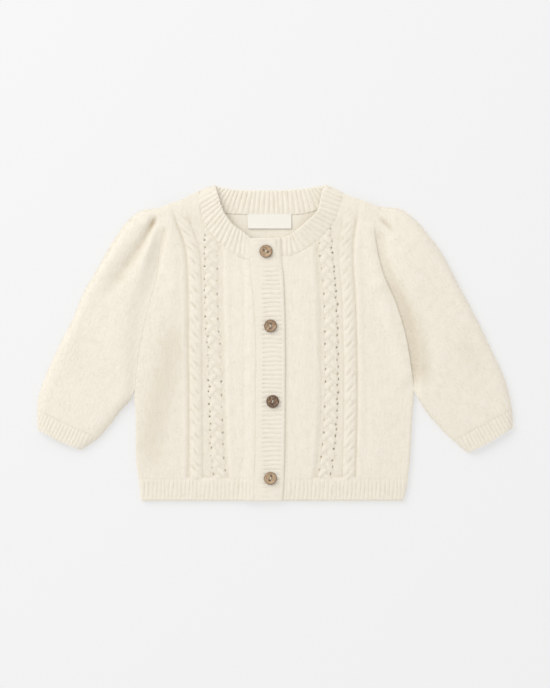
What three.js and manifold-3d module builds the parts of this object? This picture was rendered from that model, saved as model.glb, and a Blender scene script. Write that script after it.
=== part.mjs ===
// Baby cardigan, laid flat on its back: puff sleeves, cabled fronts, ribbed
// neckband and bands, four buttons.
// Millimetres. X runs across the chest, +Y towards the neck, +Z up, floor at z = 0.
import * as THREE from "three";
import Module from "manifold-3d";
import { mergeVertices } from "three/addons/utils/BufferGeometryUtils.js";

// Driving sizes
const clothThickness = 2.4;
const seamGap = 0.35;
const edgeStep = 8;
const hemBottom = -158;
const hemTop = -136;
const ribPitch = 4.06;
const ribHeight = 0.8;
const ropePitch = 9.1;
const ropeWidth = 12;
const braidPitch = 12.6;
const braidWidth = 12;
const channelDepth = 0.9;
const cableHeight = 2.1;
const bandRibPitch = 4.5;
const neckRibPitch = 4.8;
const cuffRibPitch = 3.8;
const sleeveEdgeHeight = 2.6;
const edgeInsets = [0, 1.6, 4.6];
const floorInset = 4;
const armholeDip = 1.2;
const buttonDiameter = 13;
const buttonThickness = 2.8;
const buttonHoleDiameter = 1.7;
const buttonHoleSpacing = 3.4;

// Heights of the layers
const backTop = clothThickness;
const frontUnder = backTop + seamGap;
const frontTop = frontUnder + clothThickness;
const overBandUnder = frontTop + seamGap;
const overBandTop = overBandUnder + clothThickness;

// Outlines of the panels, a row for each height y, x of each edge
const sideRows = [
  { y: -158, rightSide: -134, leftSide: 128 },
  { y: -149, rightSide: -135, leftSide: 131 },
  { y: -140, rightSide: -136, leftSide: 132.5 },
  { y: -116, rightSide: -139, leftSide: 135 },
  { y: -71, rightSide: -139.5, leftSide: 137.5 },
  { y: -48, rightSide: -141, leftSide: 139 },
  { y: -29, rightSide: -139.5, leftSide: 136.5 },
  { y: 3, rightSide: -135, leftSide: 131.5 },
  { y: 38, rightSide: -127, leftSide: 121.5 },
  { y: 68, rightSide: -119, leftSide: 108.5 },
  { y: 88, rightSide: -117, leftSide: 103 },
  { y: 111, rightSide: -113.5, leftSide: 99.5 },
  { y: 121, rightSide: -114, leftSide: 101 },
  { y: 136, rightSide: -118, leftSide: 105 },
];
const underarmHeight = -48;
// Places between the rope and the braid where more columns follow the neck's bend
const neckBends = [0.05, 0.3, 0.66];
const shoulderTip = { rightSide: { x: -118, y: 134 }, leftSide: { x: 105, y: 136 } };

// Shoulder and neck edges, from the shoulder tip in to the placket
const rightTopRows = [
  { x: -118, y: 134 },
  { x: -105, y: 139.5 },
  { x: -95, y: 142.5 },
  { x: -87, y: 147 },
  { x: -76.8, y: 152.5 },
  { x: -76.1, y: 131 },
  { x: -72.9, y: 123 },
  { x: -67.9, y: 114 },
  { x: -62.6, y: 106.8 },
  { x: -55, y: 99.6 },
  { x: -47, y: 93.6 },
  { x: -37, y: 87.6 },
  { x: -25.5, y: 83.3 },
];
const leftTopRows = [
  { x: 13.9, y: 86.2 },
  { x: 25, y: 90.5 },
  { x: 35, y: 96.2 },
  { x: 44, y: 103.2 },
  { x: 52.4, y: 111.4 },
  { x: 58.5, y: 119.6 },
  { x: 62.6, y: 127.8 },
  { x: 66.4, y: 136 },
  { x: 68.5, y: 150 },
  { x: 75, y: 147 },
  { x: 90, y: 142 },
  { x: 105, y: 136 },
];
const backNeckRows = [
  { x: -76.8, y: 152 },
  { x: -73.4, y: 146.8 },
  { x: -69, y: 139.9 },
  { x: -59.4, y: 132.7 },
  { x: -52, y: 130.2 },
  { x: -44, y: 129 },
  { x: -4, y: 128.7 },
  { x: 25, y: 128.9 },
  { x: 42.3, y: 132.9 },
  { x: 54.5, y: 138.9 },
  { x: 62.6, y: 145.6 },
  { x: 67.6, y: 150.4 },
];

// Lines that the cables follow down each front, x at each height
const rightCableRows = [
  { y: -158, channel: -88, rope: -79, between: -69, braid: -54.5, brow: -43, middle: -32, placket: -21.1 },
  { y: -136, channel: -88, rope: -79, between: -69, braid: -55.5, brow: -44, middle: -32, placket: -20.3 },
  { y: -107, channel: -87.5, rope: -79.2, between: -69.5, braid: -58, brow: -46.5, middle: -33, placket: -19.6 },
  { y: -57, channel: -87, rope: -79.5, between: -70.5, braid: -59.5, brow: -48, middle: -34, placket: -19.4 },
  { y: -7, channel: -88, rope: -80, between: -71, braid: -61, brow: -49, middle: -34, placket: -19.6 },
  { y: 43, channel: -88.5, rope: -80, between: -72, braid: -64, brow: -50, middle: -36, placket: -22.2 },
  { y: 93, channel: -91, rope: -82.5, between: -73, braid: -64, brow: -51, middle: -38, placket: -25.5 },
  { y: 125, channel: -101, rope: -93, between: -76.1, braid: -64, brow: -52, middle: -38, placket: -25.5 },
  { y: 158, channel: -109, rope: -101, between: -76.8, braid: -64, brow: -52, middle: -38, placket: -25.5 },
];
const leftCableRows = [
  { y: -158, channel: 81, rope: 73.5, between: 64, braid: 49, brow: 37, middle: 24, placket: 11.9 },
  { y: -136, channel: 81, rope: 74, between: 64, braid: 49.5, brow: 37.5, middle: 25, placket: 12.9 },
  { y: -107, channel: 82, rope: 74.5, between: 65, braid: 53.5, brow: 40.5, middle: 26, placket: 13.6 },
  { y: -57, channel: 83, rope: 75.5, between: 66, braid: 56.5, brow: 43, middle: 28, placket: 13.9 },
  { y: -7, channel: 82.5, rope: 75, between: 66, braid: 56.5, brow: 43, middle: 28, placket: 13.9 },
  { y: 43, channel: 81.5, rope: 73.5, between: 65.5, braid: 55.5, brow: 42, middle: 27, placket: 13.9 },
  { y: 93, channel: 79, rope: 70.5, between: 64, braid: 51, brow: 39, middle: 25, placket: 13.9 },
  { y: 125, channel: 83, rope: 74.5, between: 65.9, braid: 48, brow: 37, middle: 25, placket: 13.9 },
  { y: 158, channel: 89, rope: 80, between: 67.6, braid: 45, brow: 36, middle: 25, placket: 13.9 },
];

// Soft rolls of the fronts where the cloth lies loose on the back
const rollRows = [
  { fromX: -107, fromY: 130, toX: -101, toY: 55, width: 9, rise: 1.6 },
  { fromX: -113, fromY: 40, toX: -134, toY: -35, width: 10, rise: 2 },
  { fromX: -34, fromY: 60, toX: -32, toY: -110, width: 12, rise: 0.7 },
  { fromX: 30, fromY: 62, toX: 30, toY: -105, width: 11, rise: 0.8 },
  { fromX: 94, fromY: 112, toX: 103, toY: 62, width: 9, rise: 2 },
  { fromX: 106, fromY: 55, toX: 131, toY: -30, width: 9, rise: 2.4 },
  { fromX: 110, fromY: -60, toX: 100, toY: -120, width: 16, rise: 0.9 },
  { fromX: -118, fromY: -70, toX: -110, toY: -125, width: 14, rise: 0.8 },
];

// Sleeves: a row for each section from armhole to cuff, its outer and lower edge
// points, the height of the cloth above the floor and the slit inside
const rightSleeveRows = [
  { outerX: -118, outerY: 134.5, lowerX: -141, lowerY: -48, height: 8.2, slit: 2.2 },
  { outerX: -134, outerY: 132, lowerX: -143.5, lowerY: -54, height: 9.6, slit: 2.6 },
  { outerX: -148, outerY: 121, lowerX: -147, lowerY: -59.5, height: 9.8, slit: 2.8 },
  { outerX: -163, outerY: 100, lowerX: -151, lowerY: -63.5, height: 9.4, slit: 3 },
  { outerX: -177, outerY: 75, lowerX: -154.5, lowerY: -67.5, height: 9.2, slit: 3.2 },
  { outerX: -191, outerY: 51, lowerX: -158, lowerY: -72, height: 9, slit: 3.2 },
  { outerX: -202, outerY: 24, lowerX: -161, lowerY: -76.5, height: 8.8, slit: 3.2 },
  { outerX: -214, outerY: 1, lowerX: -164.5, lowerY: -81, height: 8.6, slit: 3 },
  { outerX: -226, outerY: -25, lowerX: -168.5, lowerY: -85.5, height: 8.4, slit: 2.8 },
  { outerX: -235, outerY: -48, lowerX: -172.5, lowerY: -90.5, height: 8.2, slit: 2.4 },
  { outerX: -238, outerY: -68, lowerX: -177.5, lowerY: -95.5, height: 7.6, slit: 2 },
  { outerX: -237, outerY: -87, lowerX: -194, lowerY: -107, height: 7.4, slit: 1.8 },
];
const leftSleeveRows = [
  { outerX: 105, outerY: 136.5, lowerX: 139.5, lowerY: -48, height: 8, slit: 2.2 },
  { outerX: 126, outerY: 133.5, lowerX: 143, lowerY: -55.5, height: 9, slit: 2.6 },
  { outerX: 141, outerY: 122.5, lowerX: 146.5, lowerY: -61, height: 9.6, slit: 2.8 },
  { outerX: 155, outerY: 106, lowerX: 150, lowerY: -66, height: 9.6, slit: 3 },
  { outerX: 169, outerY: 86, lowerX: 153.5, lowerY: -71, height: 9.2, slit: 3.2 },
  { outerX: 184, outerY: 57, lowerX: 157, lowerY: -75.5, height: 9, slit: 3.2 },
  { outerX: 197, outerY: 33, lowerX: 160.5, lowerY: -79.5, height: 8.8, slit: 3.2 },
  { outerX: 208, outerY: 11, lowerX: 164.5, lowerY: -84, height: 8.6, slit: 3 },
  { outerX: 219, outerY: -12, lowerX: 168.5, lowerY: -88.5, height: 8.4, slit: 2.8 },
  { outerX: 230, outerY: -37, lowerX: 173.5, lowerY: -93, height: 8.2, slit: 2.4 },
  { outerX: 237, outerY: -66, lowerX: 179.5, lowerY: -98.5, height: 7.6, slit: 2 },
  { outerX: 238, outerY: -85, lowerX: 193.5, lowerY: -110, height: 7.4, slit: 1.8 },
];

// Folds of the sleeves: troughs are deeper, ridges higher than the cloth round them
const foldRows = [
  { fromX: -124, fromY: 125, midX: -139, midY: 98, toX: -183, toY: 35, width: 5.5, rise: -2.6 },
  { fromX: -115, fromY: 116, midX: -119, midY: 76, toX: -138, toY: 20, width: 4.5, rise: -2.4 },
  { fromX: -119, fromY: 123, midX: -125, midY: 96, toX: -145, toY: 45, width: 5, rise: 1.8 },
  { fromX: -134, fromY: 128, midX: -152, midY: 96, toX: -185, toY: 50, width: 8, rise: 1.4 },
  { fromX: -150, fromY: 40, midX: -158, midY: 8, toX: -166, toY: -35, width: 9, rise: 0.9 },
  { fromX: -172, fromY: -20, midX: -168, midY: -48, toX: -172, toY: -72, width: 7, rise: -1 },
  { fromX: 106, fromY: 124, midX: 112, midY: 120, toX: 121, toY: 111, width: 4, rise: -2.2 },
  { fromX: 103, fromY: 104, midX: 108, midY: 76, toX: 127, toY: 34, width: 4.5, rise: -2.6 },
  { fromX: 127, fromY: 34, midX: 135, midY: -10, toX: 139, toY: -42, width: 6.5, rise: -3 },
  { fromX: 112, fromY: 112, midX: 122, midY: 84, toX: 143, toY: 34, width: 7, rise: 1.6 },
  { fromX: 125, fromY: 126, midX: 142, midY: 104, toX: 166, toY: 70, width: 8, rise: 1.2 },
  { fromX: 158, fromY: 20, midX: 165, midY: -15, toX: 168, toY: -50, width: 9, rise: 0.9 },
];

// Neckband: a row for each section from the right front round the back to the left
// front and on under the band on top, the seam and free edge of the middle of the cloth
const neckRows = [
  { seamX: -25.7, seamY: 84, seamZ: 6.3, freeX: -25.7, freeY: 106, freeZ: 6.7 },
  { seamX: -37, seamY: 88.3, seamZ: 5.6, freeX: -33, freeY: 112, freeZ: 7.2 },
  { seamX: -47, seamY: 94.3, seamZ: 5, freeX: -39, freeY: 116, freeZ: 8 },
  { seamX: -55, seamY: 100.3, seamZ: 4.8, freeX: -44, freeY: 121, freeZ: 8.6 },
  { seamX: -62, seamY: 107.3, seamZ: 4.8, freeX: -48.5, freeY: 127, freeZ: 8.8 },
  { seamX: -67.3, seamY: 114.3, seamZ: 4.8, freeX: -51.5, freeY: 132, freeZ: 8.8 },
  { seamX: -72, seamY: 123, seamZ: 4.9, freeX: -54, freeY: 138.5, freeZ: 8.4 },
  { seamX: -75, seamY: 133, seamZ: 5.2, freeX: -56, freeY: 145.5, freeZ: 7.6 },
  { seamX: -75.6, seamY: 143, seamZ: 5.4, freeX: -58, freeY: 152, freeZ: 6.4 },
  { seamX: -75.4, seamY: 151, seamZ: 3.5, freeX: -59, freeY: 156.6, freeZ: 3.9 },
  { seamX: -72.8, seamY: 147.3, seamZ: 1.5, freeX: -56, freeY: 156.2, freeZ: 1.7 },
  { seamX: -68.5, seamY: 140.5, seamZ: 1.2, freeX: -51.5, freeY: 155.4, freeZ: 1.2 },
  { seamX: -59, seamY: 133.3, seamZ: 1.2, freeX: -45, freeY: 154.4, freeZ: 1.2 },
  { seamX: -44, seamY: 129.7, seamZ: 1.2, freeX: -36, freeY: 153.5, freeZ: 1.2 },
  { seamX: -4, seamY: 129.3, seamZ: 1.2, freeX: -4, freeY: 152.9, freeZ: 1.2 },
  { seamX: 25, seamY: 129.5, seamZ: 1.2, freeX: 21, freeY: 154, freeZ: 1.2 },
  { seamX: 42, seamY: 133.5, seamZ: 1.2, freeX: 33, freeY: 155.5, freeZ: 1.2 },
  { seamX: 54, seamY: 139.5, seamZ: 1.2, freeX: 40, freeY: 156.3, freeZ: 1.2 },
  { seamX: 62, seamY: 146, seamZ: 1.5, freeX: 46, freeY: 157, freeZ: 1.7 },
  { seamX: 65.9, seamY: 150.2, seamZ: 3.5, freeX: 50, freeY: 157, freeZ: 3.9 },
  { seamX: 66.1, seamY: 144, seamZ: 5.4, freeX: 47, freeY: 151.5, freeZ: 6.4 },
  { seamX: 64.9, seamY: 136, seamZ: 5.2, freeX: 45, freeY: 143, freeZ: 7.2 },
  { seamX: 62, seamY: 128, seamZ: 4.9, freeX: 43, freeY: 134.5, freeZ: 7.8 },
  { seamX: 58, seamY: 120, seamZ: 4.6, freeX: 39.5, freeY: 129, freeZ: 8 },
  { seamX: 52, seamY: 112, seamZ: 4.4, freeX: 33.5, freeY: 123.5, freeZ: 7.8 },
  { seamX: 44, seamY: 104, seamZ: 4.2, freeX: 27, freeY: 117.5, freeZ: 7.4 },
  { seamX: 35, seamY: 97, seamZ: 4.1, freeX: 21, freeY: 113, freeZ: 6.4 },
  { seamX: 25, seamY: 91.8, seamZ: 4, freeX: 16.5, freeY: 109.8, freeZ: 5 },
  { seamX: 14.1, seamY: 87.7, seamZ: 3.95, freeX: 13, freeY: 107.6, freeZ: 4 },
  { seamX: 0, seamY: 87.2, seamZ: 3.95, freeX: 0, freeY: 104.4, freeZ: 3.95 },
  { seamX: -15, seamY: 87.2, seamZ: 3.95, freeX: -15, freeY: 104.4, freeZ: 3.95 },
];

// Rows where the neckband folds over the shoulders, and where the band on top covers it
const neckFolds = [9, 19, 28.3];

// Bands of the placket, x of both edges at each height
const overBandRows = [
  { y: -158, left: -20.7, right: 7.5 },
  { y: -137, left: -19.9, right: 9 },
  { y: -57, left: -19, right: 10 },
  { y: 13, left: -19.2, right: 10 },
  { y: 63, left: -23.2, right: 8.5 },
  { y: 84, left: -25.1, right: 7 },
  { y: 105, left: -25.2, right: 6 },
];
const underBandRows = [
  { y: -158, left: -17, right: 11.5 },
  { y: -137, left: -16, right: 12.5 },
  { y: -57, left: -15, right: 13.5 },
  { y: 13, left: -15, right: 13.5 },
  { y: 63, left: -16, right: 13.5 },
  { y: 86.4, left: -16.5, right: 13.5 },
];
// Buttons, and how far each is turned in degrees
const buttonRows = [
  { name: "button_1", x: -9, y: 91.5, turn: 64 },
  { name: "button_2", x: -4.5, y: 17, turn: -9 },
  { name: "button_3", x: -2.3, y: -58.3, turn: -22 },
  { name: "button_4", x: -4.6, y: -135, turn: -18 },
];

// Neck label, sewn under the seam of the back neckband
const label = { left: -27.5, right: 16.5, top: 128.2, bottom: 114.5, thickness: 0.7, lift: 1.3 };

const cream = new THREE.Color("#f1e9d4");

// Smooth cubic through the rows of a table
function readTable(rows, key, column, at) {
  const last = rows.length - 1;
  const value = Math.min(Math.max(at, rows[0][key]), rows[last][key]);
  let i = 0;
  while (i < last - 1 && value > rows[i + 1][key]) i += 1;
  const slope = (j) => {
    const before = rows[Math.max(j - 1, 0)];
    const after = rows[Math.min(j + 1, last)];
    return (after[column] - before[column]) / (after[key] - before[key]);
  };
  const span = rows[i + 1][key] - rows[i][key];
  const t = (value - rows[i][key]) / span;
  const t2 = t * t;
  const t3 = t2 * t;
  return (
    (2 * t3 - 3 * t2 + 1) * rows[i][column] +
    (t3 - 2 * t2 + t) * span * slope(i) +
    (3 * t2 - 2 * t3) * rows[i + 1][column] +
    (t3 - t2) * span * slope(i + 1)
  );
}

// Straight lines between the rows of a table
function readStraight(rows, key, column, at) {
  const last = rows.length - 1;
  const value = Math.min(Math.max(at, rows[0][key]), rows[last][key]);
  let i = 0;
  while (i < last - 1 && value > rows[i + 1][key]) i += 1;
  const t = (value - rows[i][key]) / (rows[i + 1][key] - rows[i][key]);
  return rows[i][column] * (1 - t) + rows[i + 1][column] * t;
}

function mix(a, b, t) {
  return a + (b - a) * t;
}

function smoothStep(from, to, at) {
  const t = Math.min(Math.max((at - from) / (to - from), 0), 1);
  return t * t * (3 - 2 * t);
}

// Quarter round: 0 at the edge, 1 from the given radius inwards
function roundOver(inset, radius) {
  const t = Math.min(Math.max(inset / radius, 0), 1);
  return Math.sqrt(1 - (1 - t) * (1 - t));
}

// A net of points and triangles that grows into one closed wall
function newNet() {
  return { points: [], faces: [] };
}

function addPoint(net, x, y, z) {
  net.points.push(new THREE.Vector3(x, y, Math.max(z, 0)));
  return net.points.length - 1;
}

// Joins two rows of points; seen from outside, going along them, "left" is on the left
function ladder(net, left, right) {
  let i = 0;
  let j = 0;
  const far = (a, b) => net.points[a].distanceTo(net.points[b]);
  while (i < left.length - 1 || j < right.length - 1) {
    const canLeft = i < left.length - 1;
    const canRight = j < right.length - 1;
    const stepLeft = canLeft ? far(left[i + 1], right[j]) : Infinity;
    const stepRight = canRight ? far(left[i], right[j + 1]) : Infinity;
    if (stepLeft <= stepRight) {
      net.faces.push(left[i], right[j], left[i + 1]);
      i += 1;
    } else {
      net.faces.push(left[i], right[j], right[j + 1]);
      j += 1;
    }
  }
}

// Joins two rows that have the same number of points, one to one
function evenLadder(net, left, right) {
  for (let i = 0; i < left.length - 1; i += 1) {
    net.faces.push(left[i], right[i], left[i + 1]);
    net.faces.push(left[i + 1], right[i], right[i + 1]);
  }
}

// How far along a row each of its points lies, from 0 to 1
function fractions(net, row) {
  const lengths = [0];
  for (let i = 1; i < row.length; i += 1) {
    lengths.push(lengths[i - 1] + net.points[row[i]].distanceTo(net.points[row[i - 1]]));
  }
  return lengths.map((length) => length / lengths.at(-1));
}

// Joins two rings of a tube, keeping in step round them
function ringLadder(net, left, right) {
  const leftPlace = fractions(net, left);
  const rightPlace = fractions(net, right);
  let i = 0;
  let j = 0;
  while (i < left.length - 1 || j < right.length - 1) {
    const nextLeft = i < left.length - 1 ? leftPlace[i + 1] + leftPlace[i] : Infinity;
    const nextRight = j < right.length - 1 ? rightPlace[j + 1] + rightPlace[j] : Infinity;
    if (nextLeft <= nextRight) {
      net.faces.push(left[i], right[j], left[i + 1]);
      i += 1;
    } else {
      net.faces.push(left[i], right[j], right[j + 1]);
      j += 1;
    }
  }
}

function geometryOf(net) {
  const geometry = new THREE.BufferGeometry();
  const numbers = net.points.flatMap((point) => [point.x, point.y, point.z]);
  geometry.setAttribute("position", new THREE.Float32BufferAttribute(numbers, 3));
  geometry.setIndex(net.faces);
  geometry.computeVertexNormals();
  return geometry;
}

function clothMesh(name, net) {
  const material = new THREE.MeshStandardMaterial({ color: cream, roughness: 0.95, metalness: 0 });
  const mesh = new THREE.Mesh(geometryOf(net), material);
  mesh.name = name;
  return mesh;
}

// Rim between the outer and the inner face of a wall, side by side
function closeRim(net, outer, inner) {
  ladder(net, outer.bottom, inner.bottom);
  ladder(net, inner.top, outer.top);
  ladder(net, inner.left, outer.left);
  ladder(net, outer.right, inner.right);
}

// Loose rolls under a front, as height above the back
function rollHeight(x, y) {
  let height = 0.25;
  for (const roll of rollRows) {
    const along = new THREE.Vector2(roll.toX - roll.fromX, roll.toY - roll.fromY);
    const point = new THREE.Vector2(x - roll.fromX, y - roll.fromY);
    const t = Math.min(Math.max(point.dot(along) / along.lengthSq(), 0), 1);
    const off = point.sub(along.multiplyScalar(t)).length() / roll.width;
    height += roll.rise * Math.exp(-off * off);
  }
  return height;
}

// Underside of the fronts: rolls, a rise to the band on top and a rise at the neck
function frontUnderside(x, y) {
  const hemRest = smoothStep(hemBottom - 4, hemTop + 14, y);
  const neckRise = 1.5 * smoothStep(85, 135, y);
  const bandRise = x < 0 ? (overBandUnder - frontUnder) * smoothStep(-38, -22, x) : 0;
  return frontUnder + Math.max(rollHeight(x, y) * hemRest, bandRise) + neckRise;
}

// Height of a cable's strand: seen from above, strands slant across the cable
function ropeHeight(across, phase) {
  const edge = 1 - Math.pow(Math.abs(across), 4);
  return -channelDepth + cableHeight * edge * (0.68 + 0.32 * Math.cos(phase));
}

function braidHeight(across, phase) {
  const edge = 1 - Math.pow(Math.abs(across), 4);
  const lean = across > 0 ? phase : phase + Math.PI;
  return -channelDepth + cableHeight * 0.85 * edge * (0.7 + 0.3 * Math.cos(lean));
}

// Columns of one front, from the side seam in to the placket
function frontColumns(plan) {
  const toPlacket = plan.inward;
  const edge = (y) => readTable(sideRows, "y", plan.side, y);
  const line = (name) => (y) => readTable(plan.cables, "y", name, y);
  const shifted = (name, offset) => (y) => line(name)(y) + offset * toPlacket;
  const channel = line("channel");
  const between = (t) => (y) => mix(edge(y), channel(y), t);
  const nearEdge = (y) => edge(y) + toPlacket * Math.min(8, 0.3 * Math.abs(channel(y) - edge(y)));
  const columns = [
    { x: edge, kind: "edge" },
    { x: (y) => edge(y) + 2.6 * toPlacket, kind: "plain", rise: 0 },
    { x: nearEdge, kind: "plain", rise: 0 },
    { x: between(0.42), kind: "plain", rise: 0 },
    { x: between(0.62), kind: "plain", rise: 0 },
    { x: between(0.82), kind: "plain", rise: 0 },
    { x: channel, kind: "plain", rise: -channelDepth },
  ];
  for (const across of [-1, -0.5, 0, 0.5, 1]) {
    columns.push({ x: shifted("rope", (across * ropeWidth) / 2), kind: "rope", across });
  }
  columns.push({ x: line("between"), kind: "corner", rise: -channelDepth });
  const braidEdge = shifted("braid", -braidWidth / 2);
  for (const t of neckBends) {
    columns.push({ x: (y) => mix(line("between")(y), braidEdge(y), t), kind: "plain", rise: -channelDepth });
  }
  for (const across of [-1, -0.5, 0, 0.5, 1]) {
    columns.push({ x: shifted("braid", (across * braidWidth) / 2), kind: "braid", across });
  }
  columns.push({ x: line("brow"), kind: "plain", rise: 0.1 });
  columns.push({ x: (y) => mix(line("brow")(y), line("middle")(y), 0.5), kind: "plain", rise: 0.1 });
  columns.push({ x: line("middle"), kind: "plain", rise: 0 });
  columns.push({ x: shifted("placket", -5), kind: "plain", rise: 0 });
  columns.push({ x: line("placket"), kind: "placket", rise: -0.4 });
  return columns;
}

// Where a column meets the shoulder or the neck edge
function columnTop(plan, column) {
  if (column.kind === "edge") return plan.tip.y;
  if (column.kind === "corner") return plan.corner.y;
  const above = (y) => y - readStraight(plan.topRows, "x", "y", column.x(y));
  let low = 60;
  let high = 152;
  while (high - low > 0.001) {
    const middle = (low + high) / 2;
    if (above(middle) > 0) high = middle;
    else low = middle;
  }
  return low;
}

function evenSteps(from, to, step) {
  const count = Math.max(1, Math.round((to - from) / step));
  return Array.from({ length: count + 1 }, (_, i) => mix(from, to, i / count));
}

function outerColumn(net, plan, column) {
  const bodyBottom = hemTop + 2;
  const top = columnTop(plan, column);
  const place = (y, z) => addPoint(net, column.x(y), y, frontUnderside(column.x(y), y) + z);
  if (column.kind === "edge") {
    return evenSteps(bodyBottom, top, edgeStep).map((y) => {
      const isSide = y < underarmHeight - 2;
      return place(y, isSide ? 0.35 * clothThickness : 0.75 * clothThickness);
    });
  }
  if (column.kind === "rope" || column.kind === "braid") {
    const isRope = column.kind === "rope";
    const pitch = isRope ? ropePitch : braidPitch;
    const slant = isRope ? plan.slant * column.across * ropeWidth * 0.4 : 0;
    const steps = isRope ? 2 : 4;
    const heightOf = isRope ? ropeHeight : braidHeight;
    const start = bodyBottom - 0.5 + slant;
    const points = [place(bodyBottom, clothThickness + heightOf(column.across, Math.PI))];
    for (let k = 1; start + (k * pitch) / steps < top - 3; k += 1) {
      const y = start + (k * pitch) / steps;
      if (y < bodyBottom + 1.5) continue;
      points.push(place(y, clothThickness + heightOf(column.across, (k * 2 * Math.PI) / steps)));
    }
    points.push(place(top, 0.85 * clothThickness - channelDepth / 2));
    return points;
  }
  const rise = column.rise;
  const body = evenSteps(bodyBottom, top - 3, 13).map((y) => place(y, clothThickness + rise));
  body.push(place(top, 0.7 * clothThickness));
  return body;
}

// Ribs of the hem, raised in the outer points of each row
function hemRow(net, plan, y, fullness, ribs) {
  const start = plan.startX(y);
  const end = plan.endX(y);
  const count = Math.round((end - start) / (ribPitch / 2));
  return Array.from({ length: count + 1 }, (_, i) => {
    const x = mix(start, end, i / count);
    const isEdge = i === 0 || i === count;
    const rib = ribs * (i % 2 ? 0.5 : -0.5) * ribHeight;
    const z = isEdge ? 0.4 * clothThickness : fullness * clothThickness + rib;
    return addPoint(net, x, y, frontUnderside(x, y) + z);
  });
}

function frontPanel(name, plan) {
  const net = newNet();
  const columns = frontColumns(plan);
  if (plan.inward < 0) columns.reverse();
  plan.startX = (y) => columns[0].x(y);
  plan.endX = (y) => columns.at(-1).x(y);
  const strips = columns.map((column) => outerColumn(net, plan, column));
  const hem = [
    hemRow(net, plan, hemBottom, 0.5, 0.6),
    hemRow(net, plan, hemBottom + 1.6, 1, 1),
    hemRow(net, plan, hemTop - 1, 1, 1),
    hemRow(net, plan, hemTop + 0.5, 0.8, 0),
  ];
  hem.slice(1).forEach((row, i) => ladder(net, row, hem[i]));
  ladder(net, strips.map((strip) => strip[0]), hem.at(-1));
  strips.slice(1).forEach((strip, i) => ladder(net, strips[i], strip));
  const outer = {
    bottom: hem[0],
    top: strips.map((strip) => strip.at(-1)),
    left: [...hem.map((row) => row[0]), ...strips[0]],
    right: [...hem.map((row) => row.at(-1)), ...strips.at(-1)],
  };

  const innerStrips = columns
    .filter((column, i) => i % 2 === 0 || column.kind === "corner" || i === columns.length - 1)
    .map((column) =>
      evenSteps(hemBottom, columnTop(plan, column), column.kind === "edge" ? edgeStep : 14).map((y) =>
        addPoint(net, column.x(y), y, frontUnderside(column.x(y), y)),
      ),
    );
  innerStrips.slice(1).forEach((strip, i) => ladder(net, strip, innerStrips[i]));
  closeRim(net, outer, {
    bottom: innerStrips.map((strip) => strip[0]),
    top: innerStrips.map((strip) => strip.at(-1)),
    left: innerStrips[0],
    right: innerStrips.at(-1),
  });
  return clothMesh(name, net);
}

// The back: one flat wall with the fronts' outline and its own neck edge
function backOutline() {
  const heights = evenSteps(hemBottom, shoulderTip.rightSide.y - 2, 13);
  const inset = 0.8;
  const rightEdge = heights.map((y) => [readTable(sideRows, "y", "rightSide", y) + inset, y]);
  const leftEdge = heights.map((y) => [readTable(sideRows, "y", "leftSide", y) - inset, y]);
  const shoulder = (rows, from, to) => rows.filter((row) => row.x > from && row.x < to);
  return [
    ...leftEdge,
    ...shoulder(leftTopRows, 70, 104).reverse().map((row) => [row.x, row.y - inset]),
    ...backNeckRows.toReversed().map((row) => [row.x, row.y]),
    ...shoulder(rightTopRows, -117, -80).reverse().map((row) => [row.x, row.y - inset]),
    ...rightEdge.reverse(),
  ];
}

function back() {
  const net = newNet();
  const outline = backOutline().map(([x, y]) => new THREE.Vector2(x, y));
  const faces = THREE.ShapeUtils.triangulateShape(outline, []);
  const floor = outline.map((point) => addPoint(net, point.x, point.y, 0));
  const top = outline.map((point) => addPoint(net, point.x, point.y, backTop));
  faces.forEach(([a, b, c]) => {
    net.faces.push(top[a], top[b], top[c]);
    net.faces.push(floor[a], floor[c], floor[b]);
  });
  outline.forEach((_, i) => {
    const j = (i + 1) % outline.length;
    net.faces.push(floor[i], floor[j], top[j], floor[i], top[j], top[i]);
  });
  return clothMesh("back", net);
}

// Signed height of the folds on a sleeve
function foldHeight(x, y) {
  let height = 0;
  for (const fold of foldRows) {
    let nearest = Infinity;
    let place = 0;
    for (let i = 0; i <= 16; i += 1) {
      const t = i / 16;
      const u = 1 - t;
      const controlX = 2 * fold.midX - (fold.fromX + fold.toX) / 2;
      const controlY = 2 * fold.midY - (fold.fromY + fold.toY) / 2;
      const foldX = u * u * fold.fromX + 2 * u * t * controlX + t * t * fold.toX;
      const foldY = u * u * fold.fromY + 2 * u * t * controlY + t * t * fold.toY;
      const off = Math.hypot(x - foldX, y - foldY);
      if (off < nearest) {
        nearest = off;
        place = t;
      }
    }
    const fade = smoothStep(1.15, 0.45, place);
    height += fold.rise * fade * Math.exp(-((nearest / fold.width) ** 2));
  }
  return height;
}

// Point on a sleeve's outline plane: along 0 at the armhole to 1 at the cuff,
// across 0 at the outer edge to 1 at the lower edge
function sleevePoint(plan, along, across) {
  const rows = plan.rows.map((row, i) => ({ ...row, t: i / (plan.rows.length - 1) }));
  const read = (column) => readTable(rows, "t", column, along);
  const x = mix(read("outerX"), read("lowerX"), across);
  const y = mix(read("outerY"), read("lowerY"), across);
  const first = plan.rows[0];
  const seamY = mix(first.outerY, first.lowerY, across);
  const straightX = mix(first.outerX, first.lowerX, across);
  const seamX = readTable(sideRows, "y", plan.side, seamY) - plan.inward * 1.4 * seamGap;
  const hold = across * (1 - across) > 0.0001 ? (1 - smoothStep(0, 0.5, along)) : 0;
  const cuffBow = plan.cuffBow * Math.sin(Math.PI * across) * smoothStep(0.5, 1, along);
  return { x: x + (seamX - straightX) * hold, y: y + cuffBow, height: read("height"), slit: read("slit") };
}

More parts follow.
